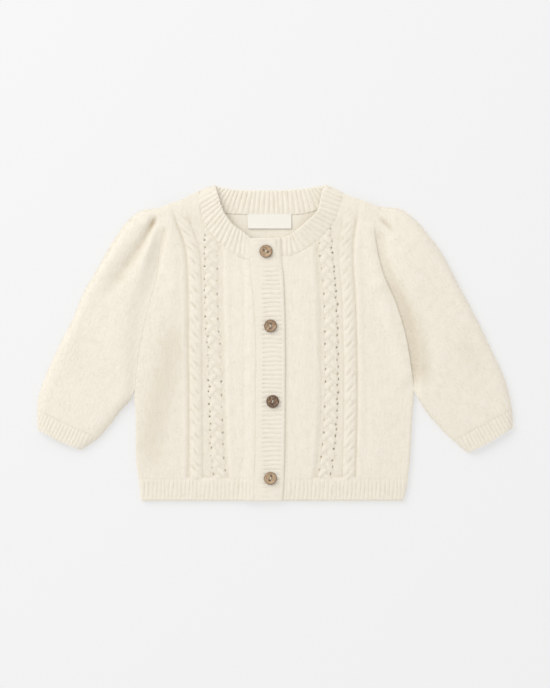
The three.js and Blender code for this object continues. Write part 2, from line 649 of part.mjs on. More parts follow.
// Places across a sleeve's upper face: close together where it rounds over, then even
function acrossPlaces(width, count) {
  const rounds = edgeInsets.map((inset) => inset / width);
  const first = rounds.at(-1);
  const middle = evenSteps(first, 1 - first, (1 - 2 * first) / (count - 2 * (rounds.length - 1)));
  return [...rounds.slice(0, -1), ...middle, ...rounds.slice(0, -1).reverse().map((t) => 1 - t)];
}

// One ring of the sleeve: the upper face from outer to lower edge, then the underside
function outerRing(net, plan, along, count, ribs) {
  const start = sleevePoint(plan, along, 0);
  const end = sleevePoint(plan, along, 1);
  const width = Math.hypot(end.x - start.x, end.y - start.y);
  const radius = plan.roundRadius * Math.min(1, width / 60);
  const ring = [];
  const places = ribs ? evenSteps(0, 1, 1 / count) : acrossPlaces(width, count);
  places.forEach((across, i) => {
    const point = sleevePoint(plan, along, across);
    const inset = Math.min(across, 1 - across) * width;
    const isEdge = i === 0 || i === places.length - 1;
    const rib = isEdge ? 0 : ribs * (i % 2 ? 0.5 : -0.5) * ribHeight;
    const fold = foldHeight(point.x, point.y) * smoothStep(0, 6, inset) * (1 - ribs);
    const crown = mix(sleeveEdgeHeight, point.height, roundOver(inset, radius));
    const seamDip = smoothStep(0.06, 0, along) * armholeDip * smoothStep(0, 4, inset);
    ring.push(addPoint(net, point.x, point.y, crown + fold + rib - seamDip));
  });
  const under = Math.max(3, Math.round(width / 16));
  for (const across of evenSteps(floorInset / width, 1 - floorInset / width, 1 / under).reverse()) {
    const point = sleevePoint(plan, along, across);
    ring.push(addPoint(net, point.x, point.y, 0));
  }
  ring.push(ring[0]);
  return ring;
}

function innerRing(net, plan, along) {
  const start = sleevePoint(plan, along, 0);
  const end = sleevePoint(plan, along, 1);
  const width = Math.hypot(end.x - start.x, end.y - start.y);
  const count = Math.max(3, Math.round(width / 16));
  const margin = clothThickness / width;
  const ring = [];
  for (const isTop of [true, false]) {
    for (let i = 0; i <= count; i += 1) {
      const t = isTop ? i / count : 1 - i / count;
      const isEdge = i === 0 || i === count;
      if (isEdge && !isTop) continue;
      const across = isEdge ? mix(margin, 1 - margin, t) : mix(2 * margin, 1 - 2 * margin, t);
      const point = sleevePoint(plan, along, across);
      const z = isEdge ? backTop + 0.35 * point.slit : backTop + (isTop ? point.slit : 0);
      ring.push(addPoint(net, point.x, point.y, z));
    }
  }
  ring.push(ring[0]);
  return ring;
}

function sleeve(name, plan) {
  const net = newNet();
  const cuffStart = 10 / 11;
  const rings = evenSteps(0, cuffStart - 0.012, 0.045).map((along) => {
    const start = sleevePoint(plan, along, 0);
    const end = sleevePoint(plan, along, 1);
    const width = Math.hypot(end.x - start.x, end.y - start.y);
    return outerRing(net, plan, along, Math.round(width / 5.6), 0);
  });
  const cuffCount = 2 * Math.round(48 / cuffRibPitch);
  for (const along of [cuffStart + 0.006, 0.992]) {
    rings.push(outerRing(net, plan, along, cuffCount, 1));
  }
  const innerRings = evenSteps(0, 0.992, 0.124).map((along) => innerRing(net, plan, along));
  const join = (a, b) => (plan.inward > 0 ? ringLadder(net, a, b) : ringLadder(net, b, a));
  rings.slice(1).forEach((ring, i) => join(rings[i], ring));
  innerRings.slice(1).forEach((ring, i) => join(ring, innerRings[i]));
  join(innerRings[0], rings[0]);
  join(rings.at(-1), innerRings.at(-1));
  return clothMesh(name, net);
}

// Middle surface of the neckband: along 0 to 1 round the neck, across 0 at the seam
function neckPoint(along, across) {
  const rows = neckRows.map((row, i) => ({ ...row, t: i / (neckRows.length - 1) }));
  const read = (column) => readTable(rows, "t", column, along);
  return new THREE.Vector3(
    mix(read("seamX"), read("freeX"), across),
    mix(read("seamY"), read("freeY"), across),
    mix(read("seamZ"), read("freeZ"), across),
  );
}

function neckNormal(along, across) {
  const step = 0.002;
  const before = neckPoint(Math.max(along - step, 0), across);
  const after = neckPoint(Math.min(along + step, 1), across);
  const tangent = after.sub(before);
  const outwards = neckPoint(along, 1).sub(neckPoint(along, 0));
  return outwards.cross(tangent).normalize();
}

// Length of the neckband along its middle
function neckLength() {
  const fine = 600;
  let length = 0;
  for (let i = 1; i <= fine; i += 1) {
    length += neckPoint(i / fine, 0.5).distanceTo(neckPoint((i - 1) / fine, 0.5));
  }
  return length;
}

// Places round the neckband at even distances along its middle
function neckStations(count) {
  const fine = 600;
  const lengths = [0];
  for (let i = 1; i <= fine; i += 1) {
    const step = neckPoint(i / fine, 0.5).distanceTo(neckPoint((i - 1) / fine, 0.5));
    lengths.push(lengths[i - 1] + step);
  }
  const total = lengths[fine];
  let i = 0;
  return Array.from({ length: count + 1 }, (_, k) => {
    const want = (total * k) / count;
    while (i < fine - 1 && lengths[i + 1] < want) i += 1;
    return (i + (want - lengths[i]) / (lengths[i + 1] - lengths[i])) / fine;
  });
}

function neckband() {
  const net = newNet();
  const stations = neckStations(2 * Math.round(neckLength() / neckRibPitch));
  const profile = [
    { across: 0, fullness: 0.65, ribs: 0.4 },
    { across: 0.12, fullness: 1, ribs: 1 },
    { across: 0.9, fullness: 1, ribs: 1 },
    { across: 1, fullness: 0.45, ribs: 0.5 },
  ];
  const face = (sign, isRibbed) =>
    profile.map((place) =>
      stations.map((along, i) => {
        const normal = neckNormal(along, place.across);
        const rib = isRibbed(along) * place.ribs * ribHeight * (i % 2 ? 1 : 0);
        const out = sign * (place.fullness * (clothThickness / 2) + rib);
        const point = neckPoint(along, place.across).addScaledVector(normal, out);
        return addPoint(net, point.x, point.y, point.z);
      }),
    );
  const lastRow = neckRows.length - 1;
  const [foldRight, foldLeft, coveredFrom] = neckFolds.map((row) => row / lastRow);
  const isFront = (along) => along < foldRight || (along > foldLeft && along < coveredFrom);
  const isBack = (along) => along > foldRight && along < foldLeft;
  const outerFace = face(1, (along) => (isFront(along) ? 1 : 0));
  const innerFace = face(-1, (along) => (isBack(along) ? 1 : 0));
  outerFace.slice(1).forEach((row, i) => evenLadder(net, outerFace[i], row));
  innerFace.slice(1).forEach((row, i) => evenLadder(net, row, innerFace[i]));
  evenLadder(net, innerFace[0], outerFace[0]);
  evenLadder(net, outerFace.at(-1), innerFace.at(-1));
  const ends = [0, stations.length - 1];
  ends.forEach((end, i) => {
    const a = outerFace.map((row) => row[end]);
    const b = innerFace.map((row) => row[end]);
    if (i === 0) ladder(net, a, b);
    else ladder(net, b, a);
  });
  return clothMesh("neckband", net);
}

// One band of the placket: ribs run across it between two smooth strips
function ribbedBand(name, rows, under, stripLeft, stripRight) {
  const net = newNet();
  const top = rows.at(-1).y;
  const left = (y) => readTable(rows, "y", "left", y);
  const right = (y) => readTable(rows, "y", "right", y);
  const full = under + clothThickness;
  const plainRows = evenSteps(hemBottom, top, 20);
  const ribRows = evenSteps(hemBottom, top, bandRibPitch / 2);
  const columnOf = (heights, x, z) => heights.map((y, i) => addPoint(net, x(y), y, z(i, heights.length - 1)));
  const soft = (level) => (i, last) => (i === 0 || i === last ? under + 0.6 * clothThickness : level);
  const ribbed = (i, last) =>
    i === 0 || i === last ? under + 0.6 * clothThickness : full + ribHeight * (i % 2 ? 0.4 : -0.4);
  const strips = [
    columnOf(plainRows, left, soft(under + 0.55 * clothThickness)),
    columnOf(plainRows, (y) => left(y) + 1.4, soft(full + 0.1)),
    columnOf(plainRows, (y) => left(y) + stripLeft - 1, soft(full + 0.1)),
    columnOf(ribRows, (y) => left(y) + stripLeft, ribbed),
    columnOf(ribRows, (y) => right(y) - stripRight, ribbed),
    columnOf(plainRows, (y) => right(y) - stripRight + 1, soft(full + 0.1)),
    columnOf(plainRows, (y) => right(y) - 1.2, soft(full)),
    columnOf(plainRows, right, soft(under + 0.5 * clothThickness)),
  ];
  strips.slice(1).forEach((strip, i) => ladder(net, strips[i], strip));
  const flat = () => under;
  const inner = [columnOf(plainRows, left, flat), columnOf(plainRows, right, flat)];
  ladder(net, inner[1], inner[0]);
  closeRim(
    net,
    {
      bottom: strips.map((strip) => strip[0]),
      top: strips.map((strip) => strip.at(-1)),
      left: strips[0],
      right: strips.at(-1),
    },
    {
      bottom: inner.map((strip) => strip[0]),
      top: inner.map((strip) => strip.at(-1)),
      left: inner[0],
      right: inner[1],
    },
  );
  return clothMesh(name, net);
}

// Bare woven label, held at its top edge and standing a little off below
function neckLabel() {
  const net = newNet();
  const columns = evenSteps(label.left, label.right, 5.5);
  const rows = evenSteps(label.bottom, label.top, 3.5);
  const bed = (x, y) => {
    const down = (label.top - y) / (label.top - label.bottom);
    const sway = 0.3 * Math.sin((x - label.left) / 7) * down;
    return backTop + seamGap + label.lift * down * down + Math.max(sway, 0);
  };
  const face = (offset) => columns.map((x) => rows.map((y) => addPoint(net, x, y, bed(x, y) + offset)));
  const upper = face(label.thickness);
  const lower = face(0);
  upper.slice(1).forEach((strip, i) => ladder(net, upper[i], strip));
  lower.slice(1).forEach((strip, i) => ladder(net, strip, lower[i]));
  const sides = (strips) => ({
    bottom: strips.map((strip) => strip[0]),
    top: strips.map((strip) => strip.at(-1)),
    left: strips[0],
    right: strips.at(-1),
  });
  closeRim(net, sides(upper), sides(lower));
  const material = new THREE.MeshStandardMaterial({ color: "#f6efdd", roughness: 0.7, metalness: 0 });
  const mesh = new THREE.Mesh(geometryOf(net), material);
  mesh.name = "neck_label";
  return mesh;
}

// A closed geometry as a solid that can be cut
function solidOf(wasm, geometry) {
  geometry.deleteAttribute("normal");
  geometry.deleteAttribute("uv");
  const merged = mergeVertices(geometry, 0.0001);
  return new wasm.Manifold(
    new wasm.Mesh({
      numProp: 3,
      vertProperties: merged.getAttribute("position").array,
      triVerts: new Uint32Array(merged.getIndex().array),
    }),
  );
}

// Turned button with a rounded rim, a shallow dish and two sewing holes
function buttonGeometry(wasm) {
  const radius = buttonDiameter / 2;
  const profile = [
    [0, 0],
    [radius - 1.6, 0],
    [radius - 0.4, 0.7],
    [radius, 1.5],
    [radius - 0.5, 2.4],
    [radius - 1.3, buttonThickness],
    [radius - 2.1, 2.5],
    [radius - 2.9, 1.9],
    [0, 1.8],
  ];
  const turned = new THREE.LatheGeometry(profile.map(([x, y]) => new THREE.Vector2(x, y)), 26);
  turned.rotateX(Math.PI / 2);
  let solid = solidOf(wasm, turned);
  for (const side of [-1, 1]) {
    const drill = new THREE.CylinderGeometry(buttonHoleDiameter / 2, buttonHoleDiameter / 2, 8, 10);
    drill.rotateX(Math.PI / 2);
    drill.translate(0, (side * buttonHoleSpacing) / 2, 0);
    solid = solid.subtract(solidOf(wasm, drill));
  }
  const cut = solid.getMesh();
  const geometry = new THREE.BufferGeometry();
  geometry.setAttribute("position", new THREE.Float32BufferAttribute(cut.vertProperties, 3));
  geometry.setIndex(Array.from(cut.triVerts));
  geometry.computeVertexNormals();
  return geometry;
}

const rightPlan = {
  side: "rightSide",
  inward: 1,
  slant: -1,
  cables: rightCableRows,
  topRows: rightTopRows,
  tip: shoulderTip.rightSide,
  corner: { x: -76.8, y: 152.5 },
  rows: rightSleeveRows,
  roundRadius: 13,
  cuffBow: -0.8,
};
const leftPlan = {
  side: "leftSide",
  inward: -1,
  slant: 1,
  cables: leftCableRows,
  topRows: leftTopRows,
  tip: shoulderTip.leftSide,
  corner: { x: 68.5, y: 150 },
  rows: leftSleeveRows,
  roundRadius: 13,
  cuffBow: -0.8,
};

const cardigan = new THREE.Group();
cardigan.add(back());
cardigan.add(frontPanel("right_front", rightPlan));
cardigan.add(frontPanel("left_front", leftPlan));
cardigan.add(sleeve("right_sleeve", rightPlan));
cardigan.add(sleeve("left_sleeve", leftPlan));
cardigan.add(neckband());
cardigan.add(ribbedBand("button_band", underBandRows, frontUnder, 7, 3));
cardigan.add(ribbedBand("buttonhole_band", overBandRows, overBandUnder, 7.5, 4));
cardigan.add(neckLabel());

const wasm = await Module();
wasm.setup();
for (const row of buttonRows) {
  const material = new THREE.MeshStandardMaterial({ color: "#7d583c", roughness: 0.5, metalness: 0 });
  const button = new THREE.Mesh(buttonGeometry(wasm), material);
  button.name = row.name;
  button.rotation.z = THREE.MathUtils.degToRad(row.turn);
  button.position.set(row.x, row.y, overBandTop + ribHeight * 0.4 + seamGap);
  cardigan.add(button);
}

export default cardigan;
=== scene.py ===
# Baby cardigan laid flat: knitted pieces, buttons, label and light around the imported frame
import math
import random
import bmesh
import bpy
import numpy as np
from mathutils import Matrix, Vector


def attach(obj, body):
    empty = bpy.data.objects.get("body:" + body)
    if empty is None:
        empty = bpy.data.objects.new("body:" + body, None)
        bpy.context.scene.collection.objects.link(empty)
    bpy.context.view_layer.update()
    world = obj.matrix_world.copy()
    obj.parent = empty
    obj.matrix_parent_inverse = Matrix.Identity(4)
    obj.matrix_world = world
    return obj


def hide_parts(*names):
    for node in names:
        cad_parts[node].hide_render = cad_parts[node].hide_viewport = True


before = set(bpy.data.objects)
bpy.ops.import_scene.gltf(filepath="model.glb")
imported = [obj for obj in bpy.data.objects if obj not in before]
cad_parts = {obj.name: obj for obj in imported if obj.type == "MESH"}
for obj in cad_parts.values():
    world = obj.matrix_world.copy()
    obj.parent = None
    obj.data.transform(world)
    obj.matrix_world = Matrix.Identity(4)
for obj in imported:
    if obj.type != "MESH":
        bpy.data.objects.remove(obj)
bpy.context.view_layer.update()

random.seed(11)
mm = 0.001

# cloth and layers, in millimetres
cloth = {"thickness": 2.4, "gap": 0.35, "seamTuck": 0.6}
backTop = cloth["thickness"]
frontUnder = backTop + cloth["gap"]
overBandUnder = frontUnder + cloth["thickness"] + cloth["gap"]
overBandTop = overBandUnder + cloth["thickness"]

hem = {"bottom": -158, "top": -136, "ribPitch": 4.06, "ribHeight": 0.5}
rope = {"pitch": 9.1, "width": 13, "height": 1.75, "slant": 0.42, "groove": 0.34, "phase": 0.07}
braid = {"pitch": 12.6, "width": 11.5, "height": 1.28, "lean": 38, "core": 0.45}
# the sunken ground under the cables, with a low ridge along either edge
channel = {
    "depth": 0.9, "outerEdge": (-2.5, 1.5), "innerEdge": (-1.5, 3.5),
    "outerRidge": 0.35, "innerRidge": 0.3, "ridgeWidth": 2.5, "fadeTop": (118, 136),
}
# how the fronts lie: least lift off the back, and where they rise to the neck and the band
lying = {
    "least": 0.25, "hemRest": (-162, -122), "bandRise": (-38, -22),
    "neckRise": 1.5, "neckFrom": (85, 135), "tipRest": 0.9, "tipFrom": (136, 151),
}


def rowsOf(names, *rows):
    # each row as a dictionary under the same names
    return [dict(zip(names.split(), row)) for row in rows]


# the side edges, then the lines that the cables follow on each front
sideRows = rowsOf(
    "y rightSide leftSide",
    (-158, -134, 128), (-149, -135, 131), (-140, -136, 132.5), (-116, -139, 135),
    (-71, -139.5, 137.5), (-48, -141, 139), (-29, -139.5, 136.5), (3, -135, 131.5),
    (38, -127, 121.5), (68, -119, 108.5), (88, -117, 103), (111, -113.5, 99.5), (121, -114, 101),
    (136, -118, 105),
)
underarmHeight = -48

rightLines = rowsOf(
    "y channel rope braid brow placket",
    (-158, -88, -79, -54.5, -43, -21.1), (-136, -88, -79, -55.5, -44, -20.3),
    (-107, -87.5, -79.2, -58, -46.5, -19.6), (-57, -87, -79.5, -59.5, -48, -19.4),
    (-7, -88, -80, -61, -49, -19.6), (43, -88.5, -80, -64, -50, -22.2),
    (93, -91, -82.5, -64, -51, -25.5), (125, -101, -93, -64, -52, -25.5),
    (158, -109, -101, -64, -52, -25.5),
)
leftLines = rowsOf(
    "y channel rope braid brow placket",
    (-158, 81, 73.5, 49, 37, 11.9), (-136, 81, 74, 49.5, 37.5, 12.9),
    (-107, 82, 74.5, 53.5, 40.5, 13.6), (-57, 83, 75.5, 56.5, 43, 13.9),
    (-7, 82.5, 75, 56.5, 43, 13.9), (43, 81.5, 73.5, 55.5, 42, 13.9), (93, 79, 70.5, 51, 39, 13.9),
    (125, 83, 74.5, 48, 37, 13.9), (158, 89, 80, 45, 36, 13.9),
)

# shoulder tip, shoulder and neck edge of each front, in to the placket
rightTop = [
    (-118, 134), (-105, 139.5), (-95, 142.5), (-87, 147), (-75.5, 152.5),
    (-75.1, 142), (-74.8, 131), (-72.2, 123), (-67.7, 114), (-62.4, 106.8),
    (-55, 99.8), (-47, 93.9), (-37, 87.9), (-25.5, 83.5),
]
leftTop = [
    (13.9, 86.4), (25, 90.8), (35, 96.6), (44, 103.5), (52.3, 111.7),
    (58.3, 119.8), (62.3, 127.9), (64.6, 136), (66, 143), (66.4, 150),
    (75, 147), (90, 142), (105, 136),
]
backNeck = [
    (-76.8, 152), (-73.4, 147), (-69, 140.1), (-59.4, 132.9), (-52, 130.6), (-44, 129.3),
    (-4, 128.9), (25, 129.1), (42.2, 133.1), (54.4, 139.1), (62.5, 145.8), (67.6, 150.4),
]

# soft rolls where a front lies loose on the back
rolls = rowsOf(
    "start end width rise",
    ((-107, 130), (-101, 55), 9, 1.6), ((-113, 40), (-134, -35), 12, 0.4),
    ((-34, 60), (-32, -110), 12, 0.7), ((30, 62), (30, -105), 11, 0.8),
    ((94, 112), (103, 62), 9, 2), ((106, 55), (131, -30), 9, 2.4),
    ((110, -60), (100, -120), 16, 0.9), ((-118, -70), (-110, -125), 14, 0.8),
)

# sleeve sections from the armhole to the cuff: upper edge, lower edge, height
rightSleeveRows = rowsOf(
    "outer lower height",
    ((-118, 134.5), (-141, -48), 8.2), ((-134, 132), (-143.5, -54), 9.6),
    ((-148, 121), (-147, -59.5), 9.8), ((-163, 100), (-151, -63.5), 9.4),
    ((-177, 75), (-154.5, -67.5), 9.2), ((-191, 51), (-158, -72), 9),
    ((-202, 24), (-161, -76.5), 8.8), ((-214, 1), (-164.5, -81), 8.6),
    ((-226, -25), (-168.5, -85.5), 8.4), ((-235, -48), (-172.5, -90.5), 8.2),
    ((-238, -68), (-177.5, -95.5), 7.6), ((-237, -87), (-194, -107), 7.4),
)
leftSleeveRows = rowsOf(
    "outer lower height",
    ((105, 136.5), (139.5, -48), 8), ((126, 133.5), (143, -55.5), 9),
    ((141, 122.5), (146.5, -61), 9.6), ((155, 106), (150, -66), 9.6),
    ((169, 86), (153.5, -71), 9.2), ((184, 57), (157, -75.5), 9), ((197, 33), (160.5, -79.5), 8.8),
    ((208, 11), (164.5, -84), 8.6), ((219, -12), (168.5, -88.5), 8.4),
    ((230, -37), (173.5, -93), 8.2), ((237, -66), (179.5, -98.5), 7.6),
    ((238, -85), (193.5, -110), 7.4),
)

# troughs (negative) and ridges of the sleeves
folds = rowsOf(
    "widths rise grow fade path",
    ((2.9, 11), -3.6, 0.11, 0.45,
     [(-118, 130), (-123, 119), (-134, 98), (-148, 76), (-163, 56), (-182, 36)]),
    ((2.6, 5), -2.3, 0.1, 0.1, [(-109.5, 118), (-111.5, 103), (-115, 86), (-121, 64), (-128, 44)]),
    ((3.4, 7), 1.2, 0.2, 0.45, [(-116, 122), (-121, 108), (-126, 93), (-135, 76), (-147, 56)]),
    ((6, 9), 1.2, 0.4, 0.45, [(-134, 127), (-152, 100), (-170, 72), (-188, 48)]),
    ((13, 13), 0.9, 0.5, 0.45, [(-150, 50), (-158, 8), (-166, -45)]),
    ((14, 15), -0.8, 0.5, 0.45, [(-183, 25), (-196, -22), (-205, -58)]),
    ((13, 13), -0.6, 0.5, 0.45, [(-174, -5), (-168, -48), (-172, -76)]),
    ((3, 5), -1.5, 0.45, 0.5, [(101, 127), (108, 122), (115, 115), (122, 106)]),
    ((7, 15), -2.6, 0.4, 0.85,
     [(101, 116), (104, 98), (108.5, 80), (116, 60), (125.5, 40), (133.5, 20), (139, 2), (143, -20),
      (144, -48)]),
    ((9, 12), 0.9, 0.5, 0.45, [(118, 115), (125, 92), (136, 66), (148, 40)]),
    ((10, 10), 0.9, 0.5, 0.45, [(125, 126), (142, 104), (166, 70)]),
    ((13, 13), 0.8, 0.5, 0.45, [(162, 35), (168, -15), (171, -60)]),
    ((14, 14), -0.7, 0.5, 0.45, [(184, 30), (198, -20), (205, -58)]),
)

# neckband sections: seam and free edge of the middle of the cloth
neckRows = rowsOf(
    "seam free",
    ((-24.9, 83.8, 6.9), (-24.9, 105.4, 6.9)), ((-37, 88.3, 5.6), (-33, 112, 7.2)),
    ((-47, 94.3, 5), (-39, 116, 8)), ((-55, 100.3, 4.8), (-44, 121, 8.6)),
    ((-62, 107.3, 4.8), (-48.5, 127, 8.8)), ((-67.3, 114.3, 4.8), (-51.5, 132, 8.8)),
    ((-72, 123, 4.9), (-54, 138.5, 8.4)), ((-75, 133, 5.2), (-56, 145.5, 7.6)),
    ((-75.6, 143, 5.4), (-58, 152, 6.4)), ((-75.4, 151, 3.5), (-59, 156.6, 3.9)),
    ((-72.8, 147.3, 1.5), (-56, 156.2, 1.7)), ((-68.5, 140.5, 1.2), (-51.5, 155.4, 1.2)),
    ((-59, 133.3, 1.2), (-45, 154.4, 1.2)), ((-44, 129.7, 1.2), (-36, 153.5, 1.2)),
    ((-4, 129.3, 1.2), (-4, 152.9, 1.2)), ((25, 129.5, 1.2), (21, 154, 1.2)),
    ((42, 133.5, 1.2), (33, 155.5, 1.2)), ((54, 139.5, 1.2), (40, 156.3, 1.2)),
    ((62, 146, 1.5), (46, 157, 1.7)), ((66, 150.2, 3.5), (50, 157, 3.9)),
    ((66.3, 144, 5.4), (47, 151.5, 6.4)), ((64.9, 136, 5.2), (45, 143, 7.2)),
    ((62, 128, 4.9), (43, 134.5, 7.8)), ((58, 120, 4.6), (39.5, 129, 8)),
    ((52, 112, 4.4), (33.5, 123.5, 7.8)), ((44, 104, 4.2), (27, 117.5, 7.4)),
    ((35, 97, 4.1), (21, 113, 6.4)), ((25, 91.6, 4.3), (16.5, 109.8, 5.3)),
    ((14.1, 87.2, 4.5), (13, 107.6, 4.6)), ((0, 87.2, 3.95), (0, 104.4, 3.95)),
    ((-15, 87.2, 3.95), (-15, 104.4, 3.95)),
)

overBandRows = rowsOf(
    "y left right",
    (-158, -20.7, 7.5), (-137, -19.9, 9), (-57, -19, 10), (13, -19.2, 10), (63, -23.2, 8.5),
    (84, -25.1, 7), (105, -25.2, 6),
)
underBandRows = rowsOf(
    "y left right",
    (-158, -17, 11.5), (-137, -16, 12.5), (-57, -15, 13.5), (13, -15, 13.5), (63, -16, 13.5),
    (87.6, -16.5, 13.5),
)


# reading the tables and simple shapes

def readTable(rows, key, column, at):
    # smooth cubic through the rows, for one value or many
    keys = np.array([row[key] for row in rows], float)
    values = np.array([row[column] for row in rows], float)
    order = np.arange(len(rows))
    before = np.maximum(order - 1, 0)
    after = np.minimum(order + 1, len(rows) - 1)
    slopes = (values[after] - values[before]) / (keys[after] - keys[before])
    at = np.clip(at, keys[0], keys[-1])
    i = np.clip(np.searchsorted(keys, at, side="right") - 1, 0, len(rows) - 2)
    span = keys[i + 1] - keys[i]
    t = (at - keys[i]) / span
    return (
        (2 * t**3 - 3 * t**2 + 1) * values[i]
        + (t**3 - 2 * t**2 + t) * span * slopes[i]
        + (3 * t**2 - 2 * t**3) * values[i + 1]
        + (t**3 - t**2) * span * slopes[i + 1]
    )


def smoothStep(start, end, at):
    t = np.clip((at - start) / (end - start), 0, 1)
    return t * t * (3 - 2 * t)


def roundOver(inset, radius):
    t = np.clip(inset / radius, 0, 1)
    return np.sqrt(1 - (1 - t) ** 2)


def mix(a, b, t):
    return a + (b - a) * t


def softMaximum(a, b, blend):
    return (a + b + np.sqrt((a - b) ** 2 + blend**2)) / 2


def bell(off, width):
    return np.exp(-(off / width) ** 2)


def lengthsAlong(points):
    return np.concatenate([[0], np.cumsum(np.linalg.norm(np.diff(points, axis=0), axis=1))])


def denseLine(points, step=0.5):
    # points at even small steps along a polyline
    points = np.array(points, float)
    lengths = lengthsAlong(points)
    places = np.linspace(0, lengths[-1], max(2, int(lengths[-1] / step)))
    return np.stack([np.interp(places, lengths, points[:, k]) for k in (0, 1)], axis=1)


def curveThrough(points, step=0.5):
    # smooth curve through given points
    lengths = lengthsAlong(np.array(points, float))
    rows = [{"t": t, "x": x, "y": y} for t, (x, y) in zip(lengths, points)]
    places = np.linspace(0, lengths[-1], max(2, int(lengths[-1] / step)))
    return np.stack([readTable(rows, "t", axis, places) for axis in "xy"], axis=1)


def distanceTo(line, x, y):
    # distance from many points to a dense line, and how far along it they lie
    nearest = np.full(x.shape, 1e9)
    place = np.zeros(x.shape)
    for k, (px, py) in enumerate(line):
        off = (x - px) ** 2 + (y - py) ** 2
        closer = off < nearest
        nearest = np.where(closer, off, nearest)
        place = np.where(closer, k / (len(line) - 1), place)
    return np.sqrt(nearest), place


def isInside(outline, x, y):
    inside = np.zeros(x.shape, bool)
    for (ax, ay), (bx, by) in zip(outline, np.roll(outline, -1, axis=0)):
        if ay == by:
            continue
        crosses = (ay > y) != (by > y)
        inside ^= crosses & (x < (bx - ax) * (y - ay) / (by - ay) + ax)
    return inside


# heights of the fronts

def rollHeight(x, y):
    height = np.full(x.shape, lying["least"])
    for roll in rolls:
        ax, ay = roll["start"]
        dx, dy = roll["end"][0] - ax, roll["end"][1] - ay
        t = np.clip(((x - ax) * dx + (y - ay) * dy) / (dx * dx + dy * dy), 0, 1)
        off = np.hypot(x - ax - dx * t, y - ay - dy * t)
        height += roll["rise"] * bell(off, roll["width"])
    return height


def frontUnderside(x, y):
    rolled = rollHeight(x, y) * smoothStep(*lying["hemRest"], y)
    overBand = (overBandUnder - frontUnder) * smoothStep(*lying["bandRise"], x)
    neckRise = lying["neckRise"] * smoothStep(*lying["neckFrom"], y)
    neckRise *= 1 - lying["tipRest"] * smoothStep(*lying["tipFrom"], y)
    return frontUnder + np.maximum(rolled, np.where(x < 0, overBand, 0)) + neckRise


def foldHeight(x, y):
    # troughs and ridges that fade towards their far ends
    reach = 22
    height = np.zeros(x.shape)
    for fold in folds:
        line = curveThrough(fold["path"], 0.8)
        near = (x > line[:, 0].min() - reach) & (x < line[:, 0].max() + reach)
        near &= (y > line[:, 1].min() - reach) & (y < line[:, 1].max() + reach)
        off, place = distanceTo(line, x[near], y[near])
        width = mix(*fold["widths"], place)
        fade = smoothStep(1.02, fold["fade"], place) * smoothStep(0, fold["grow"], place)
        height[near] += fold["rise"] * fade * bell(off, width)
    return height


def wrap(value):
    return value - np.floor(value)


def ropeRelief(x, y, lines, slant):
    # two strands laid over each other, as slanting rounded lobes
    across = (x - readTable(lines, "y", "rope", y)) / (rope["width"] / 2)
    lean = slant * np.sin(np.clip(across, -1, 1) * math.pi / 2) * rope["width"] * rope["slant"]
    lobe = wrap((y - lean) / rope["pitch"] + rope["phase"] * np.sin(y * 0.19 + slant))
    groove = rope["groove"] * (0.85 + 0.4 * np.sin(y * 0.43 + 2 * slant))
    body = np.clip(1 - np.abs(across) ** 2.4, 0, 1) ** 0.9
    crown = 1 - groove * (0.5 + 0.5 * np.cos(2 * math.pi * lobe)) ** 1.2
    return np.where(np.abs(across) < 1, rope["height"] * body * crown, 0)


def braidRelief(x, y, lines, outward):
    # plait of slanting knots, in two columns half a repeat apart
    fromMiddle = (x - readTable(lines, "y", "braid", y)) * outward
    relief = np.zeros(x.shape)
    for column in (-1, 1):
        across = fromMiddle - column * braid["width"] * 0.2
        along = (wrap(y / braid["pitch"] + 0.25 * column) - 0.5) * braid["pitch"]
        lean = math.radians(braid["lean"]) * column
        strand = (along * math.cos(lean) - across * math.sin(lean)) / (braid["pitch"] * 0.56)
        beside = (across * math.cos(lean) + along * math.sin(lean)) / (braid["width"] * 0.3)
        knot = np.clip(1 - strand**2 - beside**2, 0, 1) ** 0.7
        uneven = 0.88 + 0.14 * np.sin(y * 0.37 + column)
        relief = np.maximum(relief, braid["height"] * knot * uneven)
    core = np.clip(1 - (2 * fromMiddle / braid["width"]) ** 2, 0, 1) ** 0.5
    return np.maximum(relief, braid["core"] * braid["height"] * core)


def cableRelief(x, y, lines, outward):
    # the cables on their sunken ground, and where that ground is
    fromChannel = (x - readTable(lines, "y", "channel", y)) * -outward
    fromBrow = (readTable(lines, "y", "brow", y) - x) * -outward
    ground = smoothStep(*channel["outerEdge"], fromChannel)
    ground = ground * smoothStep(*channel["innerEdge"], fromBrow)
    ridges = (channel["outerRidge"] * bell(fromChannel + 3.5, channel["ridgeWidth"])
              + channel["innerRidge"] * bell(fromBrow + 2.5, channel["ridgeWidth"]))
    onBody = smoothStep(hem["top"] - 0.5, hem["top"] + 3, y)
    onBody = onBody * (1 - 0.8 * smoothStep(*channel["fadeTop"], y))
    # the rope at the wearer's left is flatter towards the neck
    ropeShare = mix(0.95, 0.7, smoothStep(0, 90, y)) if outward > 0 else 1
    cables = ropeRelief(x, y, lines, outward) * ropeShare + braidRelief(x, y, lines, outward)
    return (ridges - channel["depth"] * ground + cables) * onBody, ground * onBody


# small holes either side of the braid: close set on the outer side, once a repeat on the inner
eyeletRows = rowsOf(
    "pitch start spare aside alongBy acrossBy size tall",
    (braid["pitch"] / 2, 5, 6, (5.6, 6.5), 0.9, 0.4, (0.55, 1.05), (0.95, 1.15)),
    (braid["pitch"], 9, 8, (-6.3, -6.3), 0.5, 0.3, (0.45, 0.85), (1, 1.2)),
)
eyeletCut = (0.55, 0.75)  # share of a hole's radius across and along that is open


